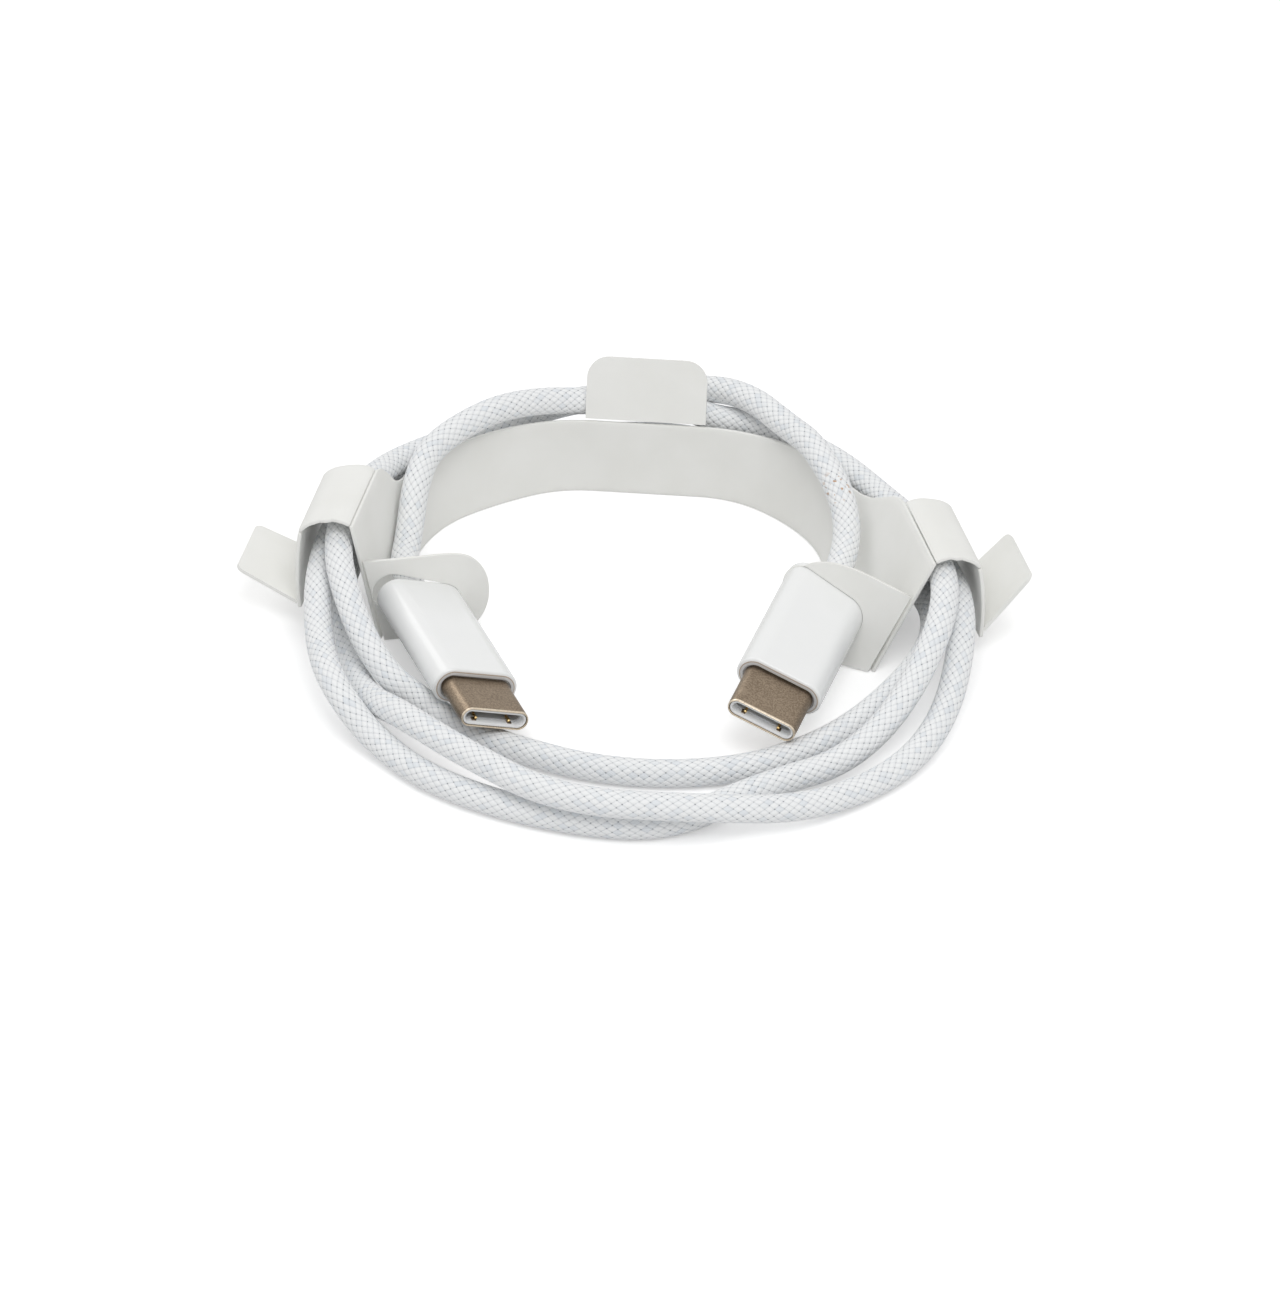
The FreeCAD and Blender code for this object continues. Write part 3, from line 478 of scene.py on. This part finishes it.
# %% Rings that follow the line without twist
SIDES = 32
ways = np.gradient(track, axis=0)
ways /= np.linalg.norm(ways, axis=1)[:, None]
outs = [np.cross(ways[0], (0.0, 0.0, 1.0))]
outs[0] /= np.linalg.norm(outs[0])
for way in ways[1:]:
    carried = outs[-1] - way * np.dot(outs[-1], way)
    outs.append(carried / np.linalg.norm(carried))
outs = np.array(outs)
sides = np.cross(ways, outs)
angles = np.linspace(0, 2 * math.pi, SIDES, endpoint=False)
rings = (track[:, None, :]
         + CABLE / 2 * (np.cos(angles)[None, :, None] * outs[:, None, :]
                        + np.sin(angles)[None, :, None] * sides[:, None, :]))
print("rings:", rings.shape[0], "of", SIDES, "points")


def link(name, mesh, paint=None):
    """Put a mesh in the scene as an object."""
    made = bpy.data.objects.new(name, mesh)
    bpy.context.scene.collection.objects.link(made)
    if paint:
        mesh.materials.append(paint)
    return made


def sleeve(name, first, last, paint):
    """The part of the tube between two rings, as a mesh with the weave's UV map."""
    count = last - first + 1
    corners = rings[first:last + 1].reshape(-1, 3)
    faces, places = [], []
    for k in range(count - 1):
        here, there = k * SIDES, (k + 1) * SIDES
        v0, v1 = travel[first + k], travel[first + k + 1]
        for s in range(SIDES):
            t = (s + 1) % SIDES
            faces.append((here + s, here + t, there + t, there + s))
            u0, u1 = s / SIDES, (s + 1) / SIDES
            places += [(u0, v0), (u1, v0), (u1, v1), (u0, v1)]
    faces.append(tuple(reversed(range(SIDES))))
    places += [(0.5, travel[first])] * SIDES
    faces.append(tuple(range((count - 1) * SIDES, count * SIDES)))
    places += [(0.5, travel[last])] * SIDES
    mesh = bpy.data.meshes.new(name)
    mesh.from_pydata(corners.tolist(), [], faces)
    layer = mesh.uv_layers.new(name="weave")
    layer.data.foreach_set("uv", np.array(places, np.float32).ravel())
    mesh.polygons.foreach_set("use_smooth", [len(face) == 4 for face in faces])
    return link(name, mesh, paint)


# %% [markdown]
# ## The woven sleeve
# Twelve bundles of thread run round the cable one way and twelve the other, each passing over one
# and under the next. That makes small slanting floats, 0.7 mm long, with a pinhole where four of
# them meet, painted dark as shade. Two numbers say where a point lies among the bundles: one counts
# the bundles of each direction. Their fractions shape the floats and darken their edges with
# painted shade, and their whole parts say which bundle is on top and give each float its own tone:
# most are white, some a pale grey-blue. A few brown specks lie at one place of the right end.

# %% Braid
BUNDLES = 12
WEAVE_LONG = 0.00117

braid = Paint("braid")
weave_uv = braid.add("ShaderNodeUVMap", {"uv_map": "weave"})
split = braid.tree.nodes.new("ShaderNodeSeparateXYZ")
braid.tree.links.new(weave_uv.socket, split.inputs[0])
around = Signal(braid, split.outputs["X"]) * BUNDLES
along = Signal(braid, split.outputs["Y"]) / WEAVE_LONG
right_hand = around + along
left_hand = around - along
right_cell, left_cell = right_hand.floor(), left_hand.floor()
right_part, left_part = right_hand.fraction(), left_hand.fraction()
over = (right_cell + left_cell) % 2
turned = 1 - over
across = over * right_part + turned * left_part
down = over * left_part + turned * right_part
across_edge = (across - 0.5).size() * 2
down_edge = (down - 0.5).size() * 2
crown = 1 - across_edge * across_edge * 0.75 - down_edge * down_edge * down_edge * 0.7
strands = (across * (3 * 2 * math.pi)).sine() * 0.07

cell_name = braid.add("ShaderNodeCombineXYZ", None, {
    "X": (right_cell + left_cell) % (2 * BUNDLES), "Y": right_cell - left_cell})
chance = braid.add("ShaderNodeTexWhiteNoise", {"noise_dimensions": "2D"}, {"Vector": cell_name})
bundle_chance = braid.add("ShaderNodeTexWhiteNoise", {"noise_dimensions": "1D"},
                          {"W": (over * right_cell + turned * left_cell) % BUNDLES + over * 40})
hole_name = braid.add("ShaderNodeCombineXYZ", None, {
    "X": (right_hand + 0.5).floor() + 0.37, "Y": (left_hand + 0.5).floor() + 0.71})
hole_chance = braid.add("ShaderNodeTexWhiteNoise", {"noise_dimensions": "2D"},
                        {"Vector": hole_name})

blue = chance.step(0.7, 0.98) * 0.3 + bundle_chance.step(0.7, 0.9) * 0.04
shade = braid.blend(blue, (0.90, 0.91, 0.915), (0.58, 0.65, 0.73))
# painted shade: near their edges the floats are darkened towards blue-grey, for the shade in the
# grooves between them
groove_painted_shade = (across_edge.step(0.62, 1.0)).most(down_edge.step(0.7, 1.05)) * 0.16
shade = braid.blend(groove_painted_shade, shade, (0.30, 0.34, 0.40))
# painted shade: the pinholes between floats get a near-black colour for the shade inside them; the
# same mask also dents the bump
hole = across_edge.least(down_edge).step(0.72, 0.92) * (0.2 + 0.45 * hole_chance.step(0.2, 0.9))
shade = braid.blend(hole, shade, (0.07, 0.095, 0.13))
stain_place = braid.add("ShaderNodeTexCoord", output=3)
stain_far = braid.add("ShaderNodeVectorMath", {"operation": "DISTANCE"}, {
    0: stain_place, 1: spot(22.9, 17.6, 12.0)}, output=1)
stain_spots = braid.add("ShaderNodeTexNoise", None, {"Vector": stain_place, "Scale": 1500.0})
stain = (1 - stain_far.step(0.0008, 0.0028)) * stain_spots.step(0.58, 0.66) * 0.8
shade = braid.blend(stain, shade, (0.47, 0.22, 0.06))
braid_material = braid.finish(
    bump=crown + strands - hole * 0.8, bump_height=0.00012, bump_strength=0.75,
    Base_Color=shade, Roughness=0.78, Sheen_Weight=0.15, Specular_IOR_Level=0.3)
print("braid: floats", round(math.hypot(WEAVE_LONG / 2, math.pi * CABLE / 24) * 1000, 2), "mm")

# %% The three stretches of the cable
coil = sleeve("cable_coil_sleeve", cut_left, cut_right, braid_material)
left_end = sleeve("left_cable_sleeve", 0, cut_left, braid_material)
right_end = sleeve("right_cable_sleeve", cut_right, len(track) - 1, braid_material)
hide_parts("cable_coil")
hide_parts("left_cable_end")
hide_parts("right_cable_end")
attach(coil, "holder")
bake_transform(left_end)
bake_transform(right_end)
print("faces:", [len(piece.data.polygons) for piece in (coil, left_end, right_end)])

# %% [markdown]
# ## Card
# The holder is one sheet of coated white card. It is matt and very slightly mottled by its
# fibres.

# %% Card
card = Paint("card")
place = card.add("ShaderNodeTexCoord", output=3)
fibres = card.add("ShaderNodeTexNoise", None, {"Vector": place, "Scale": 2600.0, "Detail": 5.0})
mottle = card.add("ShaderNodeTexNoise", None, {"Vector": place, "Scale": 160.0, "Detail": 3.0})
tone = card.blend(mottle.step(0.3, 0.7), (0.835, 0.835, 0.805), (0.86, 0.86, 0.835))
card_material = card.finish(
    bump=fibres, bump_height=0.00002, bump_strength=0.25,
    Base_Color=tone, Roughness=0.62 + fibres * 0.12, Specular_IOR_Level=0.35)
print("card ready")

# %% [markdown]
# ### Card sheets
# Card folds softly and bows between its folds. So each visible sheet is a grid of points on its
# middle surface, which a modifier turns into card of the right thickness with slightly rounded
# cut edges.

# %% A card sheet from a grid
CARD_THICK = 0.00045


def card_sheet(name, grid, replaced, body):
    """Card on a grid of points, rows by columns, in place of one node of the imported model."""
    rows, columns = len(grid), len(grid[0])
    faces = []
    for r in range(rows - 1):
        for c in range(columns - 1):
            here, there = r * columns + c, (r + 1) * columns + c
            faces.append((here, here + 1, there + 1, there))
    mesh = bpy.data.meshes.new(name)
    mesh.from_pydata([tuple(point) for row in grid for point in row], [], faces)
    flat = link(name + "_flat", mesh)
    depth = flat.modifiers.new("thickness", "SOLIDIFY")
    depth.thickness = CARD_THICK
    depth.offset = 0
    edges = flat.modifiers.new("edges", "BEVEL")
    edges.width = 0.00011
    edges.segments = 2
    edges.angle_limit = math.radians(50)
    bpy.context.view_layer.update()
    shape = bpy.data.meshes.new_from_object(
        flat.evaluated_get(bpy.context.evaluated_depsgraph_get()))
    bpy.data.objects.remove(flat)
    shape.polygons.foreach_set("use_smooth", [True] * len(shape.polygons))
    shape.set_sharp_from_angle(angle=math.radians(60))
    made = link(name, shape, card_material)
    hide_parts(replaced)
    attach(made, body)


print("card sheets ready")

# %% [markdown]
# ### The band
# The band runs from the left strap round the back to the right strap, and leans outward. Its line
# is drawn again at every height: straight in the straps, round in the bends, straight again under
# the back tab. Its top edge drops from the straps to the lower back in a soft ramp.

# %% Band
LEAN = {"left": math.radians(11.5), "right": math.radians(27.0)}
BACK_HEADING = -6.2135
BACK_HALF = heading(BACK_HEADING) * 0.0062365


def arcs(start, way, end, end_way, steps=9):
    """Points on the two arcs between two stations, without the last one."""
    first, second = bends_between(start, way, end, end_way)
    middle = (first + second) / 2
    found = []
    for a, b, c in ((start, first, middle), (middle, second, end)):
        for k in range(steps):
            t = k / steps
            found.append(a * (1 - t) ** 2 + b * (2 * t * (1 - t)) + c * t ** 2)
    return found


def band_line(z):
    """The band's middle line at a height in millimetres."""
    left, right = heading(LEFT_ALONG), heading(RIGHT_ALONG)
    left_move = UP.cross(left) * (z * math.tan(LEAN["left"]) / 1000)
    right_move = right.cross(UP) * (z * math.tan(LEAN["right"]) / 1000)
    back = heading(BACK_HEADING)
    left_bend, right_bend = heading(35.5), heading(-58)
    left_corner = spot(-19.7, 30.6, z) + UP.cross(left_bend) * (left_move.length * 0.5)
    right_corner = spot(19.6, 25.6, z) + UP.cross(right_bend) * (right_move.length * 0.4)
    left_start = spot(*LEFT_FOOT, z) + left * 0.0003 + left_move
    left_end = spot(*LEFT_FOOT, z) + left * 0.01665 + left_move
    right_end = spot(*RIGHT_FOOT, z) + right * 0.018 + right_move
    right_start = spot(*RIGHT_FOOT, z) + right * 0.0003 + right_move
    back_left, back_right = spot(1.0, 35.175, z) - BACK_HALF, spot(1.0, 35.175, z) + BACK_HALF
    points = [left_start.lerp(left_end, k / 12) for k in range(12)]
    points += arcs(left_end, left, left_corner, left_bend)
    points += arcs(left_corner, left_bend, back_left, back)
    points += [back_left.lerp(back_right, k / 6) for k in range(6)]
    points += arcs(back_right, back, right_corner, right_bend)
    points += arcs(right_corner, right_bend, right_end, -right)
    points += [right_end.lerp(right_start, k / 12) for k in range(13)]
    return points


def ramp(x, y):
    """The height of the band's top edge at a place on its foot, in millimetres."""
    high, start, end = (15.0, 16.0, 22.6) if x < 0 else (13.7, 10.2, 19.0)
    share = min(max((y - start) / (end - start), 0), 1)
    return high + (9.65 - high) * (share - math.sin(2 * math.pi * share) / (2 * math.pi) * 0.6)


BAND_ROWS = 14
tops = [ramp(*((point - COIL_MIDDLE) * 1000).xy) for point in band_line(0)]
band_grid = [[band_line(top * row / BAND_ROWS)[c] for c, top in enumerate(tops)]
             for row in range(BAND_ROWS + 1)]
card_sheet("card_band_sheet", band_grid, "card_band", "holder")
print("band:", len(tops), "columns, top from", min(tops), "to", max(tops))

# %% [markdown]
# ### Roofs and outer walls
# Each strap goes over the turns as a roof and down as an outer wall. The turns push the roof up
# into a low arch, steeper near its folds, and the wall out a little.

# %% Straps
STRAPS = {
    "left": {"foot": LEFT_FOOT, "along": LEFT_ALONG, "out": 90, "slope": 15.31, "wide": 12.6,
             "roof": 6.3, "drop": 14.5, "wall": 10.3, "turn": 1.5, "arch": 0.9},
    "right": {"foot": RIGHT_FOOT, "along": RIGHT_ALONG, "out": -90, "slope": 15.38, "wide": 13.4,
              "roof": 5.6, "drop": 15.0, "wall": 9.5, "turn": 2.0, "arch": 0.75},
}


SHEET_ROWS = 16
SHEET_COLUMNS = 14


def surface(origin, along, across, outward, wide, start, end, bow, power, ragged=0.0):
    """A grid from a fold at origin: it goes across from start to end and bows outward between."""
    grid = []
    for row in range(SHEET_ROWS + 1):
        t = row / SHEET_ROWS
        y = start + t * (end - start)
        lift = bow * (1 - abs(2 * t - 1) ** power)
        tear = ragged * (0.5 + 0.5 * math.sin(23 * t + 1)) * (1 if 0.12 < t < 0.8 else 0)
        for_row = []
        for column in range(SHEET_COLUMNS + 1):
            share = column / SHEET_COLUMNS
            for_row.append(origin + (along * (tear * (1 - share) + wide * share) + across * y
                                     + outward * lift) / 1000)
        grid.append(for_row)
    return grid


for side, size in STRAPS.items():
    along = heading(size["along"])
    out = heading(size["along"] + size["out"])
    drop, turn = math.radians(size["drop"]), math.radians(size["turn"])
    rise = out * math.sin(LEAN[side]) + UP * math.cos(LEAN[side])
    roof_way = out * math.cos(drop) - UP * math.sin(drop)
    wall_way = out * math.sin(turn) - UP * math.cos(turn)
    roof_at = spot(*size["foot"], 0) + (rise * size["slope"] + along * 0.5) / 1000
    wall_at = roof_at + roof_way * (size["roof"] / 1000)
    roof_up = out * math.sin(drop) + UP * math.cos(drop)
    wall_out = out * math.cos(turn) + UP * math.sin(turn)
    card_sheet(f"{side}_roof_sheet",
               surface(roof_at, along, roof_way, roof_up, size["wide"] - 0.5, 0.2, size["roof"],
                       size["arch"], 3, ragged=0.22),
               f"{side}_roof", f"{side}_roof")
    card_sheet(f"{side}_outer_wall_sheet",
               surface(wall_at, along, wall_way, wall_out, size["wide"] - 0.7, 0.3,
                       size["wall"] + 0.1, 0.3, 2),
               f"{side}_outer_wall", f"{side}_outer_wall")
print("straps with soft folds")

# %% [markdown]
# ### Slotted tongues
# A tongue leaves the foot of each strap and holds a plug in its slot. It is drawn flat as an
# outline with a hole, given the thickness of the card, and stood on its crease. The hole is the
# housing's own outline, carried along the plug until it meets the tongue.

# %% Tongues
TONGUES = {
    "left": {"foot": LEFT_FOOT, "along": LEFT_ALONG, "out": 90, "way": 10.5, "outline": [
        (0.65, 0.2), (9.0, 0.2), (10.6, 0.7), (11.9, 1.9), (12.7, 3.6), (12.9, 5.4), (12.75, 7.2),
        (12.0, 8.7), (10.8, 9.9), (9.3, 10.4), (7.5, 10.5), (4.0, 10.45), (-1.45, 10.5)]},
    "right": {"foot": RIGHT_FOOT, "along": RIGHT_ALONG, "out": -90, "way": 156, "outline": [
        (0.7, 0.2), (9.4, 0.2), (10.7, 0.8), (11.5, 2.0), (11.8, 3.8), (11.85, 6.1), (11.7, 7.6),
        (11.3, 9.0), (10.55, 10.2), (9.5, 11.05), (8.1, 11.55), (6.4, 11.75), (4.6, 11.7),
        (2.3, 11.3), (0.1, 10.75), (-3.1, 9.95)]},
}


def rounded(corners, passes=2):
    """Cut the corners of a closed outline, but for the two on the crease."""
    for _ in range(passes):
        last = len(corners) - 1
        found = [corners[0]]
        for k in range(last):
            (ax, ay), (bx, by) = corners[k], corners[k + 1]
            if k:
                found.append((ax * 0.75 + bx * 0.25, ay * 0.75 + by * 0.25))
            if k < last - 1:
                found.append((ax * 0.25 + bx * 0.75, ay * 0.25 + by * 0.75))
        corners = found + [corners[last]]
    return corners


def tongue(side, size):
    """The tongue of one side, with the hole for its plug."""
    along, way = heading(size["along"]), heading(size["way"])
    out = heading(size["along"] + size["out"])
    crease = out * math.sin(LEAN[side]) + UP * math.cos(LEAN[side])
    up = (crease - way * crease.dot(way)).normalized()
    normal = way.cross(up)
    foot = spot(*size["foot"], 0)
    ahead = (on_plug(side, 1) - on_plug(side, 0)).normalized()
    hole = []
    for point in slot_ring(side, 5, 10.5, 4.7):
        meets = point + ahead * ((foot - point).dot(normal) / ahead.dot(normal))
        hole.append(((meets - foot).dot(way) * 1000, (meets - foot).dot(up) * 1000))
    drawn = bpy.data.curves.new(f"{side}_tongue", "CURVE")
    drawn.dimensions = "2D"
    drawn.fill_mode = "BOTH"
    for outline in (rounded(size["outline"]), hole):
        loop = drawn.splines.new("POLY")
        loop.points.add(len(outline) - 1)
        for point, (x, y) in zip(loop.points, outline):
            point.co = (x / 1000, y / 1000, 0, 1)
        loop.use_cyclic_u = True
    drawn.extrude = 0.00017
    drawn.bevel_depth = 0.000055
    drawn.bevel_resolution = 1
    flat = bpy.data.objects.new(f"{side}_tongue_flat", drawn)
    bpy.context.scene.collection.objects.link(flat)
    bpy.context.view_layer.update()
    mesh = bpy.data.meshes.new_from_object(
        flat.evaluated_get(bpy.context.evaluated_depsgraph_get()))
    bpy.data.objects.remove(flat)
    mesh.materials.clear()
    stand = Matrix((way, up, normal)).transposed().to_4x4()
    mesh.transform(Matrix.Translation(foot) @ stand)
    made = link(f"{side}_tongue_sheet", mesh, card_material)
    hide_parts(f"{side}_plug_tab")
    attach(made, f"{side}_plug")
    print(side, "tongue: hole from", [round(min(c), 1) for c in zip(*hole)], "to",
          [round(max(c), 1) for c in zip(*hole)])


for side, size in TONGUES.items():
    tongue(side, size)

# %% [markdown]
# ## Plug plastics and metals
# The housings are glossy white plastic, the rings in their front ends a light grey. The shells are
# blasted stainless steel, which looks brown-grey and satin. Inside the mouths a pale moulding
# carries gold-plated contacts.

# %% Plug materials
housing = Paint("plug_housing")
place = housing.add("ShaderNodeTexCoord", output=3)
flow = housing.add("ShaderNodeTexNoise", None, {"Vector": place, "Scale": 220.0, "Detail": 2.0})
housing_material = housing.finish(
    bump=flow, bump_height=0.00003, bump_strength=0.06,
    Base_Color=housing.blend(flow, (0.84, 0.85, 0.845), (0.87, 0.875, 0.87)),
    Roughness=0.2 + flow * 0.08, Coat_Weight=0.25, Coat_Roughness=0.08)

collar = Paint("collar")
place = collar.add("ShaderNodeTexCoord", output=3)
grain = collar.add("ShaderNodeTexNoise", None, {"Vector": place, "Scale": 3000.0, "Detail": 3.0})
collar_material = collar.finish(
    bump=grain, bump_height=0.00001, bump_strength=0.3,
    Base_Color=collar.blend(grain, (0.60, 0.60, 0.60), (0.66, 0.66, 0.655)), Roughness=0.5)


def metal(name, dark, light, rough):
    """Blasted or plated metal with a fine even grain."""
    made = Paint(name)
    place = made.add("ShaderNodeTexCoord", output=3)
    grain = made.add("ShaderNodeTexNoise", None, {"Vector": place, "Scale": 5200.0, "Detail": 3.0})
    smear = made.add("ShaderNodeTexNoise", None, {"Vector": place, "Scale": 420.0, "Detail": 3.0})
    return made.finish(
        bump=grain, bump_height=0.000006, bump_strength=0.35,
        Base_Color=made.blend((grain * 0.8 + smear * 0.2).step(0.36, 0.64), dark, light),
        Metallic=1.0, Roughness=rough + grain * 0.1 + smear * 0.06)


def moulding(name, dark, light, rough):
    """Plain moulded plastic, rubber or board with a slight mottle."""
    made = Paint(name)
    place = made.add("ShaderNodeTexCoord", output=3)
    grain = made.add("ShaderNodeTexNoise", None, {"Vector": place, "Scale": 1800.0, "Detail": 3.0})
    return made.finish(
        bump=grain, bump_height=0.00001, bump_strength=0.3,
        Base_Color=made.blend(grain, dark, light), Roughness=rough + grain * 0.08)


shell_material = metal("plug_shell", (0.2, 0.152, 0.108), (0.315, 0.25, 0.182), 0.3)
can_material = metal("shield_can", (0.5, 0.49, 0.47), (0.6, 0.59, 0.57), 0.28)
latch_material = metal("latch", (0.72, 0.36, 0.1), (0.82, 0.46, 0.16), 0.28)
contacts_material = metal("contacts", (0.78, 0.52, 0.2), (0.88, 0.66, 0.32), 0.2)
carrier_material = moulding("carrier", (0.50, 0.505, 0.51), (0.56, 0.565, 0.57), 0.45)
board_material = moulding("board", (0.02, 0.13, 0.06), (0.03, 0.2, 0.1), 0.45)
chip_material = moulding("chip", (0.03, 0.03, 0.033), (0.05, 0.05, 0.055), 0.5)
relief_material = moulding("relief", (0.72, 0.73, 0.74), (0.8, 0.81, 0.82), 0.55)
wires_material = moulding("wires", (0.45, 0.07, 0.05), (0.55, 0.1, 0.07), 0.45)

# %% [markdown]
# ### Shells and mouths
# A shell is drawn from one flat tube: a little wider where it leaves the housing, with a rounded
# lip at the mouth, which is painted lighter than the rest of the steel as a painted highlight.
# Inside the lip sits a pale moulded rim round the dark slot, and two gold spring tips catch the
# light in it. A pale ring with a thin brown edge sits in the front of each housing. Each of these
# forms is a row of rings with a skin.

# %% Shells and mouths
def ring_skin(name, rings_of_points, materials, which, body):
    """A closed skin over rings; which gives the material of each band between two rings."""
    count = len(rings_of_points)
    faces, worn = [], []
    for r in range(count):
        a, b = r * RING_POINTS, (r + 1) % count * RING_POINTS
        for k in range(RING_POINTS):
            n = (k + 1) % RING_POINTS
            faces.append((a + k, a + n, b + n, b + k))
            worn.append(which[r])
    mesh = bpy.data.meshes.new(name)
    mesh.from_pydata([tuple(p) for ring in rings_of_points for p in ring], [], faces)
    for one in materials:
        mesh.materials.append(one)
    mesh.polygons.foreach_set("material_index", worn)
    mesh.polygons.foreach_set("use_smooth", [True] * len(faces))
    mesh.set_sharp_from_angle(angle=math.radians(40))
    made = link(name, mesh)
    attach(made, body)
    return made


# painted highlight: the shell's lip is the same steel as the shell, given a lighter colour
lip_highlight_material = metal("shell_lip_painted_highlight", (0.62, 0.52, 0.40), (0.74, 0.65, 0.52), 0.22)
mouth_material = moulding("mouth_rim", (0.80, 0.81, 0.815), (0.86, 0.865, 0.87), 0.4)
edge_material = moulding("collar_edge", (0.42, 0.33, 0.25), (0.5, 0.41, 0.33), 0.5)
SHELL_RINGS = [(15.1, 0.0), (19.7, 0.0), (20.0, 0.16), (20.5, 0.14), (21.3, 0.0), (26.42, 0.0),
               (26.55, -0.03), (26.65, -0.14), (26.65, -0.26), (26.6, -0.38), (26.4, -0.42),
               (15.1, -0.42)]
COLLAR_RINGS = [(19.8, 9.62, 3.82), (20.03, 9.62, 3.82), (20.04, 9.4, 3.6), (20.04, 8.78, 2.98),
                (19.6, 8.72, 2.92)]
MOUTH_RINGS = [(24.2, 7.75, 1.92), (26.4, 7.75, 1.92), (26.5, 7.68, 1.85), (26.5, 7.35, 1.5),
               (26.42, 7.22, 1.38), (24.2, 7.2, 1.36)]
TIP_RINGS = [(25.0, 0.05), (25.0, 0.17), (26.0, 0.17), (26.12, 0.05)]
TIP_LEVEL = -0.36


def round_ring(side, x, y, z, radius):
    """A round ring across a plug at x, in millimetres."""
    turns_of = [2 * math.pi * k / RING_POINTS for k in range(RING_POINTS)]
    return [on_plug(side, x, y + radius * math.cos(one), z + radius * math.sin(one))
            for one in turns_of]


plug_skins = {"left": [], "right": []}
for side in plug_skins:
    # the bands of the lip wear the painted highlight, the rest wear the shell's steel
    shell = ring_skin(f"{side}_shell_skin",
                      [slot_ring(side, x, 8.25 + grow, 2.4 + grow) for x, grow in SHELL_RINGS],
                      [shell_material, lip_highlight_material], [0, 0, 0, 0, 0, 1, 1, 1, 1, 1, 0, 0],
                      f"{side}_plug")
    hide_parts(f"{side}_shell")
    ring = ring_skin(f"{side}_collar_ring", [slot_ring(side, *one) for one in COLLAR_RINGS],
                     [edge_material, collar_material], [0, 0, 1, 1, 1], f"{side}_plug")
    mouth = ring_skin(f"{side}_mouth_rim", [slot_ring(side, *ring) for ring in MOUTH_RINGS],
                      [mouth_material], [0] * len(MOUTH_RINGS), f"{side}_plug")
    plug_skins[side] += [shell, ring, mouth]
    for end, y in (("low", -2.05), ("high", 2.05)):
        tip = ring_skin(f"{side}_spring_tip_{end}",
                        [round_ring(side, x, y, TIP_LEVEL, radius) for x, radius in TIP_RINGS],
                        [contacts_material], [0] * len(TIP_RINGS), f"{side}_plug")
        plug_skins[side].append(tip)
print("shell rings:", len(SHELL_RINGS), "mouth rings:", len(MOUTH_RINGS))

# %% Materials on the kept pieces
WEARS = {
    "housing": housing_material, "collar": collar_material, "shell": shell_material,
    "contact_carrier": carrier_material, "upper_contacts": contacts_material,
    "lower_contacts": contacts_material, "side_latch": latch_material,
    "shield_springs": shell_material, "paddle_board": board_material,
    "marker_chip": chip_material, "shield_can": can_material, "crimp_ferrule": can_material,
    "strain_relief": relief_material, "core_wires": wires_material,
}
REMADE = {"cable_coil", "left_cable_end", "right_cable_end", "card_band", "left_roof", "right_roof",
          "left_outer_wall", "right_outer_wall", "left_shell", "right_shell",
          "left_plug_tab", "right_plug_tab"}
for name, piece in nodes.items():
    if name in REMADE:
        continue
    wears = WEARS.get(name.split("_", 1)[1], card_material) if "_" in name else card_material
    piece.data.materials.clear()
    piece.data.materials.append(wears)
print("dressed:", len(nodes) - len(REMADE))
